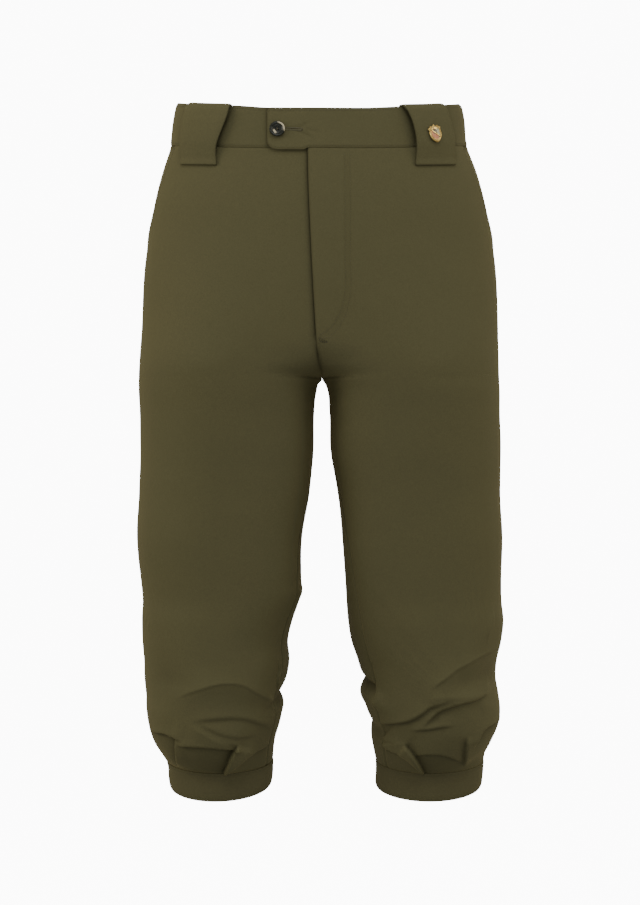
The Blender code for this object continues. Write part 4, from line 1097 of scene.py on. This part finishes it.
def badge(gilt, warm, pale, dark):
    """A generic gilt shield: a raised beaded rim, a raised diagonal bar, and plain enamel in three tones."""
    reach = reach_at(LEFT, FRONT, BADGE_LEVEL, BADGE_X)
    place, axes = frame_at(LEFT, BADGE_LEVEL, reach, LOOP_SECTION[8].stand + 2 * CLEARANCE)
    turn = np.array([[np.cos(BADGE_LEAN), np.sin(BADGE_LEAN)], [-np.sin(BADGE_LEAN), np.cos(BADGE_LEAN)]])
    axes = np.vstack([turn @ axes[:2], axes[2]])
    turns, rings = np.arange(160) / 160 * 2 * np.pi, np.linspace(0.0, 1.0, 70)
    rim = shield_rim(turns)
    share = rings[:, None] + 0.0 * turns
    spot = rim[None] * rings[:, None, None]
    bead = 0.00012 * np.cos(turns * 44)
    height = BADGE_THICKNESS * 0.62 + (0.00055 + bead) * bell(share - 0.84, 0.09)
    bar = spot @ np.array([np.sin(0.75), np.cos(0.75)])
    on_bar = (1 - smoothstep((np.abs(bar) - 0.0005) / 0.0004)) * (1 - smoothstep((share - 0.72) / 0.1))
    height = height + 0.0004 * on_bar
    chief = smoothstep((spot[..., 1] - 0.0040) / 0.0005) * (1 - smoothstep((share - 0.76) / 0.08))
    height = height + 0.00035 * chief * (0.75 + 0.25 * np.cos(spot[..., 0] / 0.0008))
    height = height - 0.0007 * smoothstep((share - 0.95) / 0.05)
    mesh = disc_mesh("badge_plain_shield", place, axes, rim, rings, height, 0.0)
    add_piece("badge_plain_shield", mesh, gilt, "badge_shield")
    for extra in (warm, pale, dark):
        mesh.materials.append(extra)
    inside = (share < 0.66) & (np.abs(bar) > 0.0007) & (spot[..., 1] < 0.0042)
    tone = np.where(inside, np.where(bar > 0, 2, 1), 0)
    tone = np.where(inside & (np.linalg.norm(spot - [-0.0006, 0.0020], axis=-1) < 0.0026), 3, tone)
    tone = np.where(inside & (spot[..., 0] > 0.0022) & (spot[..., 1] < -0.0022), 3, tone)
    slots = np.zeros(len(mesh.polygons), np.int32)
    body = tone[1:-1]
    slots[: body.size] = body.reshape(-1)
    mesh.polygons.foreach_set("material_index", slots)


def buttonhole(points, normals, thread):
    """A satin-stitched buttonhole on the tab: a stadium-shaped ring of thread, rippled 0.07 mm at each stitch."""
    at, out = lie_on(points, normals, FRONT, [(-40, -0.6), (-30, -1.0), (-20, -1.4)], 3)
    across = at[2] - at[0]
    half_run = np.linalg.norm(across) / 2 - 0.0006
    across /= np.linalg.norm(across)
    up = np.cross(out[1], across)
    axes = np.stack([across, up, np.cross(across, up)])
    turns = np.arange(220) / 220
    angle = turns * 2 * np.pi
    spine = np.stack([np.clip(np.cos(angle) * half_run * 1.22, -half_run, half_run), 0.0 * angle], 1)
    outward_2d = np.stack([np.cos(angle) * (np.abs(np.cos(angle)) > 0.82), np.sin(angle)], 1)
    outward_2d /= np.linalg.norm(outward_2d, axis=1, keepdims=True)
    tube = np.arange(10) / 10 * 2 * np.pi
    ripple = 1.0 + 0.12 * np.cos(turns * 2 * np.pi * 55)[:, None]
    far = 0.00115 + 0.00085 * np.cos(tube) * ripple
    lift = 0.00005 + 0.00045 * np.sin(tube) * ripple
    local = np.concatenate([spine[:, None] + outward_2d[:, None] * far[..., None], lift[..., None]], axis=-1)
    bend = (out[2] - out[0]) @ across / 2 / max(half_run, 1e-6)
    local[..., 2] -= 0.5 * bend * local[..., 0] ** 2
    ring = at[1] + local @ axes
    count, around = ring.shape[:2]
    corners = grid_quads(count, around, ring=True, tube=True).reshape(-1)
    uv = np.stack(np.meshgrid(np.arange(count), np.arange(around), indexing="ij"), -1).reshape(-1, 2) * 0.0003
    mesh = shaped_mesh("buttonhole_satin", ring.reshape(-1, 3), corners, np.arange(count * around) * 4, uv[corners])
    return add_piece("buttonhole_satin", mesh, thread, slot="waistband_left")


# ------------------------------------------------------------------ materials
def new_material(name, colour, roughness, metallic=0.0, specular=0.5):
    """A Principled material with these plain values, and its nodes, for textures to be joined to."""
    made = bpy.data.materials.new(name)
    made.use_nodes = True
    shader = made.node_tree.nodes["Principled BSDF"]
    shader.inputs["Base Color"].default_value = (*colour, 1.0)
    shader.inputs["Roughness"].default_value = roughness
    shader.inputs["Metallic"].default_value = metallic
    shader.inputs["Specular IOR Level"].default_value = specular
    return made, made.node_tree, shader


def node(tree, kind, inputs=(), **settings):
    """A node of this kind, with its settings, and its inputs set to a value or joined to another's output."""
    made = tree.nodes.new(kind)
    for key, value in settings.items():
        setattr(made, key, value)
    for key, value in dict(inputs).items():
        if isinstance(value, bpy.types.NodeSocket):
            tree.links.new(value, made.inputs[key])
        else:
            made.inputs[key].default_value = value
    return made


def mixed(tree, share, first, second):
    """The colour output of a mix of two colours."""
    made = node(tree, "ShaderNodeMix", data_type="RGBA", clamp_factor=True)
    for socket, value in ((0, share), (6, first), (7, second)):
        if isinstance(value, bpy.types.NodeSocket):
            tree.links.new(value, made.inputs[socket])
        else:
            made.inputs[socket].default_value = value
    return made.outputs[2]


def spread(tree, value, low, high, to_low=0.0, to_high=1.0):
    """The value mapped from low..high on to to_low..to_high, held at both ends."""
    ranges = {"From Min": low, "From Max": high, "To Min": to_low, "To Max": to_high}
    return node(tree, "ShaderNodeMapRange", {"Value": value, **ranges}).outputs[0]


def maths(tree, operation, first, second=0.0):
    """The output of one operation on two numbers."""
    return node(tree, "ShaderNodeMath", {0: first, 1: second}, operation=operation).outputs[0]


def place_in(tree):
    """A point's place in its piece's own coordinates."""
    return node(tree, "ShaderNodeTexCoord").outputs["Object"]


def place_on_cloth(tree, turn=None):
    """A point's place on its piece of cloth or thread, in metres along it, turned by an angle if one is given."""
    cloth = node(tree, "ShaderNodeUVMap", uv_map="cloth").outputs[0]
    if turn is None:
        return cloth
    return node(tree, "ShaderNodeMapping", {"Vector": cloth, "Rotation": (0.0, 0.0, turn)}).outputs[0]


def noise(tree, place, scale, detail, roughness=0.5):
    """A cloudy pattern, about 0.3 to 0.7."""
    inputs = {"Vector": place, "Scale": scale, "Detail": detail, "Roughness": roughness}
    return node(tree, "ShaderNodeTexNoise", inputs).outputs["Fac"]


def waves(tree, place, way, scale, **inputs):
    """Straight waves from 0 to 1 across one direction, 314 / scale millimetres apart."""
    inputs = {"Vector": place, "Scale": scale, **{key.replace("_", " "): value for key, value in inputs.items()}}
    return node(tree, "ShaderNodeTexWave", inputs, wave_type="BANDS", bands_direction=way).outputs["Fac"]


def dress(tree, shader, colour, roughness, bump=None):
    """Joins a colour, a roughness and a bump, given as its strength, depth and height, to the shader."""
    tree.links.new(colour, shader.inputs["Base Color"])
    tree.links.new(roughness, shader.inputs["Roughness"])
    if bump:
        inputs = dict(zip(("Strength", "Distance", "Height"), bump))
        tree.links.new(node(tree, "ShaderNodeBump", inputs).outputs[0], shader.inputs["Normal"])


def rgb(colour, scale=1.0):
    """A colour as four numbers."""
    return (*(c * scale for c in colour), 1.0)


def cloth_material(name, colour, turn):
    """Fine brushed twill: diagonal wales 0.7 mm apart and yarns 0.35 mm apart as bump, a faint mottle of yarn
    tones, a slow unevenness of dye, painted highlight on the folds' crests and painted shade in their troughs,
    beside pleats' edges and along seams and edges, read from each point's painted_shading, and a soft sheen."""
    made, tree, shader = new_material(name, colour, 0.82, specular=0.10)
    place = place_in(tree)
    wales = waves(tree, place_on_cloth(tree, turn), "X", 449.0, Distortion=0.6, Detail=1.0, Detail_Scale=1.5)
    yarns = waves(tree, place_on_cloth(tree), "Y", 898.0, Distortion=0.8, Detail=1.0, Detail_Scale=2.0)
    mottle, dye = noise(tree, place, 700.0, 3.0, 0.6), noise(tree, place, 9.0, 2.0)
    painted_shading = node(tree, "ShaderNodeAttribute", attribute_name="painted_shading").outputs["Fac"]
    dyed = rgb((colour[0] * 0.9, colour[1] * 0.93, colour[2] * 0.98))
    tone = mixed(tree, spread(tree, mottle, 0.3, 0.7), rgb(colour, 0.90), rgb(colour, 1.10))
    tone = mixed(tree, spread(tree, dye, 0.3, 0.7, 0.0, 0.30), tone, dyed)
    # painted highlight where painted_shading is above 0, and painted shade down to 0.22 of the colour where it is
    # below
    tone = mixed(tree, spread(tree, painted_shading, 0.0, 1.0, 0.0, 0.40), tone, rgb(colour, 1.25))
    tone = mixed(tree, spread(tree, painted_shading, -1.4, 0.0, 0.95, 0.0), tone, rgb(colour, 0.22))
    height = maths(tree, "ADD", maths(tree, "ADD", wales, yarns), mottle)
    dress(tree, shader, tone, spread(tree, mottle, 0.3, 0.7, 0.74, 0.88), (0.5, 0.00006, height))
    shader.inputs["Sheen Weight"].default_value = 0.20
    shader.inputs["Sheen Roughness"].default_value = 0.45
    shader.inputs["Sheen Tint"].default_value = (0.80, 0.66, 0.28, 1.0)
    return made


def thread_material(name, colour):
    """Twisted sewing thread: a slanting twist 0.5 mm apart as bump, and a slight change of tone along it."""
    made, tree, shader = new_material(name, colour, 0.55, specular=0.35)
    twist = waves(tree, place_on_cloth(tree, 0.6), "X", 628.0)
    tone = mixed(tree, twist, rgb(colour, 0.80), rgb(colour, 1.15))
    dress(tree, shader, tone, spread(tree, twist, 0.0, 1.0, 0.45, 0.65), (0.6, 0.00008, twist))
    return made


def horn_material(name, centre):
    """Polished dark horn with two cream streaks: a short arc inside the rim on the upper right, and a straight
    one beside the rim on the lower left."""
    made, tree, shader = new_material(name, (0.012, 0.012, 0.010), 0.24, specular=0.35)
    place = place_in(tree)
    from_centre = {0: place, 1: tuple(-float(x) for x in centre)}
    away = node(tree, "ShaderNodeVectorMath", from_centre, operation="ADD").outputs[0]
    x, _, z = node(tree, "ShaderNodeSeparateXYZ", {0: away}).outputs
    far = maths(tree, "ADD", maths(tree, "MULTIPLY", x, x), maths(tree, "MULTIPLY", z, z))
    from_arc = maths(tree, "ABSOLUTE", maths(tree, "ADD", maths(tree, "POWER", far, 0.5), -0.0069))
    along = maths(tree, "ADD", maths(tree, "MULTIPLY", x, 0.80), maths(tree, "MULTIPLY", z, 0.60))
    beside = maths(tree, "SUBTRACT", maths(tree, "MULTIPLY", z, 0.80), maths(tree, "MULTIPLY", x, 0.60))
    from_streak = maths(tree, "ABSOLUTE", maths(tree, "ADD", along, 0.0040))
    grain = noise(tree, place, 900.0, 3.0)
    arc = spread(tree, from_arc, 0.0005, 0.0011, 1.0, 0.0)
    arc = maths(tree, "MULTIPLY", arc, spread(tree, along, 0.0036, 0.0052))
    streak = spread(tree, from_streak, 0.0006, 0.0014, 1.0, 0.0)
    beside = spread(tree, maths(tree, "ABSOLUTE", beside), 0.0014, 0.0030, 1.0, 0.0)
    cream = maths(tree, "MAXIMUM", arc, maths(tree, "MULTIPLY", streak, beside))
    cream = maths(tree, "MULTIPLY", cream, spread(tree, grain, 0.30, 0.55, 0.55, 1.0))
    dark = mixed(tree, grain, (0.004, 0.005, 0.004, 1.0), (0.030, 0.033, 0.024, 1.0))
    tone = mixed(tree, cream, dark, (0.60, 0.53, 0.36, 1.0))
    dress(tree, shader, tone, spread(tree, grain, 0.3, 0.7, 0.18, 0.30), (0.25, 0.00004, grain))
    return made


def gilt_material(name):
    """Cast gilt metal, a little darker and duller in small patches."""
    made, tree, shader = new_material(name, (0.62, 0.42, 0.13), 0.32, metallic=0.75)
    patch = noise(tree, place_in(tree), 420.0, 4.0, 0.6)
    tone = mixed(tree, spread(tree, patch, 0.35, 0.65), (0.36, 0.22, 0.05, 1.0), (0.80, 0.58, 0.20, 1.0))
    dress(tree, shader, tone, spread(tree, patch, 0.3, 0.7, 0.42, 0.20), (0.5, 0.0001, patch))
    return made


def enamel_material(name, colour):
    """Glossy enamel, with a faint cloudiness."""
    made, tree, shader = new_material(name, colour, 0.15)
    cloud = noise(tree, place_in(tree), 600.0, 2.0)
    tone = mixed(tree, cloud, rgb(colour, 0.75), rgb(colour, 1.2))
    dress(tree, shader, tone, spread(tree, cloud, 0.3, 0.7, 0.10, 0.22))
    return made


# ------------------------------------------------------------------ making everything
OLIVE = (0.0985, 0.0912, 0.0432)
CUFF_OLIVE = (0.0995, 0.0908, 0.0440)
THREAD = (0.078, 0.070, 0.031)

made = {}
# each panel's coarse and fine spacing of rows, and its count of columns
SPACING = {FRONT: (0.0050, 0.00115, 184), BACK: (0.0050, 0.0019, 96)}
bases = {(side, half): panel_base(side, half, *SPACING[half]) for side in (RIGHT, LEFT) for half in (FRONT, BACK)}
crease_lines = [(crease, crease_line(crease, bases)) for crease in CREASES]
thread = thread_material("olive thread", THREAD)
for side in (RIGHT, LEFT):
    word = SIDE_NAMES[side]
    body = cloth_material(f"olive twill, {word} panels", OLIVE, 1.05)
    band = cloth_material(f"olive twill, {word} waistband", OLIVE, 0.52)
    cuff_cloth = cloth_material(f"olive twill, {word} cuff", CUFF_OLIVE, 0.52)
    for half in (FRONT, BACK):
        made[side, half] = panel(side, half, bases[side, half], crease_lines, body)
    made[side, "pocket"] = pocket_side(side, body)
    made[side, "band"], made[side, "band points"] = waistband(side, band)
    made[side, "cuff"], made[side, "cuff points"] = cuff(side, cuff_cloth)
    made[side, "loop"] = front_loop(side, band)
made["back loop"] = back_loop(band)

# the stitching, a piece for each sheet that it is sewn on
fly = made[LEFT, FRONT]
FLY_TRACKS = [
    [(33, -29), (33.5, -80), (33.5, -140), (33, -185), (27, -208), (15, -226), (-2, -236)],
    [(27, -29), (27.5, -80), (27.5, -140), (27, -183), (22, -203), (12, -219), (-1, -229)],
]
TACK_TRACKS = [[(-2 + 0.8 * k, -232.5 - 0.5 * k), (8 + 0.3 * k, -233.5 - 0.5 * k)] for k in range(3)]
fly_lines = [lie_on(fly.points, fly.normals, FRONT, track, 90) for track in FLY_TRACKS]
tack_lines = [lie_on(fly.points, fly.normals, FRONT, track, 12) for track in TACK_TRACKS]


def pocket_line(side, inset):
    """The line of the pocket edge's stitching, this far inside the edge."""
    levels = np.linspace(BAND_FOOT - 0.003, POCKET_FOOT + 0.002, 60)
    end = widths(side, FRONT, levels) - pocket_set(levels)
    return on_panel(made[side, FRONT], side, FRONT, levels, end - inset)


POCKET_STITCHED = 0.0022
stitched = {}
for word, lines in (
    ("front_left", [*fly_lines, pocket_line(LEFT, POCKET_STITCHED)]),
    ("front_right", [pocket_line(RIGHT, POCKET_STITCHED)]),
):
    stitched[word] = stitches(f"stitches_{word}", lines, thread, word)
dark_thread = thread_material("dark olive thread", (0.016, 0.014, 0.007))
tacks = stitches(
    "stitches_fly_tack", tack_lines, dark_thread, "front_left", pitch_mm=1.9, length_mm=1.6, radius_mm=0.28
)
for side in (RIGHT, LEFT):
    word = SIDE_NAMES[side]
    lines = [grid_line(made[side, "band points"], BAND_ROWS, share) for share in (0.068, 0.941)]
    stitched[f"waistband_{word}"] = stitches(f"stitches_waistband_{word}", lines, thread, f"waistband_{word}")
    ring = made[side, "cuff points"]
    ring = np.concatenate([ring, ring[:, :1]], axis=1)
    lines = [grid_line(ring, CUFF_ROWS, share) for share in (0.08, 0.89)]
    stitched[f"cuff_{word}"] = stitches(f"stitches_cuff_{word}", lines, thread, f"cuff_{word}")
tab = made[LEFT, "band points"]
buttonhole_piece = buttonhole(tab, outward(tab), thread)
button_middle = frame_at(LEFT, BUTTON_LEVEL, -BUTTON_PLACE, 0.0)[0]
button(horn_material("dark horn", button_middle), thread_material("button thread", (0.10, 0.085, 0.045)))
badge(
    gilt_material("gilt metal"),
    enamel_material("warm enamel", (0.50, 0.14, 0.03)),
    enamel_material("pale enamel", (0.42, 0.40, 0.20)),
    enamel_material("dark enamel", (0.07, 0.050, 0.022)),
)

# ------------------------------------------------------------------ sheets
# A Cut is a piece's cut, of what shows: its width, length and flat area; no cut is worked out here. The
# sheets are gathered by their nodes' names, with the stitching sewn on each, and nothing more is done with them.
Cut = namedtuple("Cut", "width length area")
with_them = {name: [piece] for name, piece in stitched.items()}
with_them["front_left"].append(tacks)
with_them["waistband_left"].append(buttonhole_piece)
sheets = {}
for side in (RIGHT, LEFT):
    for half in (FRONT, BACK):
        sheets[f"{HALF_NAMES[half]}_{SIDE_NAMES[side]}"] = made[side, half].object
SMALL_SHEETS = [("pocket", "pocket_side"), ("band", "waistband"), ("cuff", "cuff"), ("loop", "belt_loop_front")]
for side in (RIGHT, LEFT):
    for key, name in SMALL_SHEETS:
        sheets[f"{name}_{SIDE_NAMES[side]}"] = made[side, key]
sheets["belt_loop_back"] = made["back loop"]
for name, piece in sheets.items():
    kind, _, word = name.rpartition("_")

# ------------------------------------------------------------------ studio
FLOOR, GLOW = -1.25, 11.0


def sweep():
    """The studio's pale floor, which curves up behind into a paper backdrop, with a painted glow only behind the
    breeches: its glow is 1 where |x| and |z - eye| are under 0.145 and 0.2 of the distance from the eye, and
    fades to nothing by 0.2 and 0.26 of it."""
    bend = np.linspace(0.0, np.pi / 2, 24)
    run = [(-9.0, FLOOR), *((4.6 + 2.0 * np.sin(a), FLOOR + 2.0 - 2.0 * np.cos(a)) for a in bend), (6.6, 6.0)]
    run = np.array(run)
    points = np.stack([np.stack([np.full(len(run), x), run[:, 0], run[:, 1]], 1) for x in (-9.0, 9.0)], 1)
    mesh = grid_mesh("studio_sweep", points[::-1], np.zeros(points.shape[:2] + (2,)))
    piece = bpy.data.objects.new("studio_sweep", mesh)
    bpy.context.scene.collection.objects.link(piece)
    paper, tree, shader = new_material("white paper with painted glow", (0.82, 0.82, 0.82), 1.0, specular=0.0)
    x, y, z = node(tree, "ShaderNodeSeparateXYZ", {"Vector": place_in(tree)}).outputs
    away = maths(tree, "ADD", y, EYE_DISTANCE)
    shares = []
    for axis, middle, full, none in ((x, 0.0, 0.145, 0.20), (z, EYE_LEVEL, 0.20, 0.26)):
        off = maths(tree, "ABSOLUTE", maths(tree, "SUBTRACT", axis, middle))
        shares.append(spread(tree, maths(tree, "DIVIDE", off, away), full, none, 1.0, 0.0))
    # painted glow on the paper, strongest behind the breeches as seen from the eye
    glow = maths(tree, "MULTIPLY", *shares)
    glow = maths(tree, "MULTIPLY", glow, spread(tree, away, 4.2, 5.0, 0.0, GLOW))
    shader.inputs["Emission Color"].default_value = (1.0, 1.0, 1.0, 1.0)
    tree.links.new(glow, shader.inputs["Emission Strength"])
    mesh.materials.append(paper)
    piece.visible_diffuse = piece.visible_glossy = False  # the paper is only looked at: the lamps light the cloth


def soft_light(name, place, aim, size, power, colour=(1.0, 1.0, 1.0)):
    """A square soft light at a place, aimed at a point."""
    lamp = bpy.data.lights.new(name, "AREA")
    lamp.shape, lamp.size, lamp.energy, lamp.color = "SQUARE", size, power, colour
    piece = bpy.data.objects.new(name, lamp)
    piece.location = place
    way = np.array(aim, float) - np.array(place, float)
    piece.rotation_mode = "QUATERNION"
    piece.rotation_quaternion = Vector(way).to_track_quat("-Z", "Y")
    bpy.context.scene.collection.objects.link(piece)


sweep()
soft_light("key", (0.1, -1.6, 1.9), (0, 0, -0.25), 2.0, 31)
soft_light("left side", (-2.3, -0.7, 0.5), (0, 0, -0.30), 1.4, 29, (1.0, 0.93, 0.80))
soft_light("right side", (2.3, -0.7, 0.5), (0, 0, -0.30), 1.4, 19, (1.0, 0.93, 0.80))
soft_light("fill", (0.0, -3.2, -0.9), (0, 0, -0.45), 2.2, 23)
soft_light("back", (0.0, 2.4, 2.0), (0, 0, -0.35), 1.6, 24)
world = bpy.data.worlds.new("studio")
world.use_nodes = True
world.node_tree.nodes["Background"].inputs["Color"].default_value = (1.0, 1.0, 1.0, 1.0)
world.node_tree.nodes["Background"].inputs["Strength"].default_value = 0.29
bpy.context.scene.world = world

lens = bpy.data.cameras.new("camera")
lens.lens, lens.sensor_width, lens.sensor_fit = 108.5, 36.0, "AUTO"
lens.clip_start, lens.clip_end = 0.05, 100.0
camera = bpy.data.objects.new("camera", lens)
camera.location = (0.0, -EYE_DISTANCE, EYE_LEVEL)
camera.rotation_euler = (np.pi / 2, 0.0, 0.0)
bpy.context.scene.collection.objects.link(camera)
bpy.context.scene.camera = camera

bpy.context.view_layer.update()
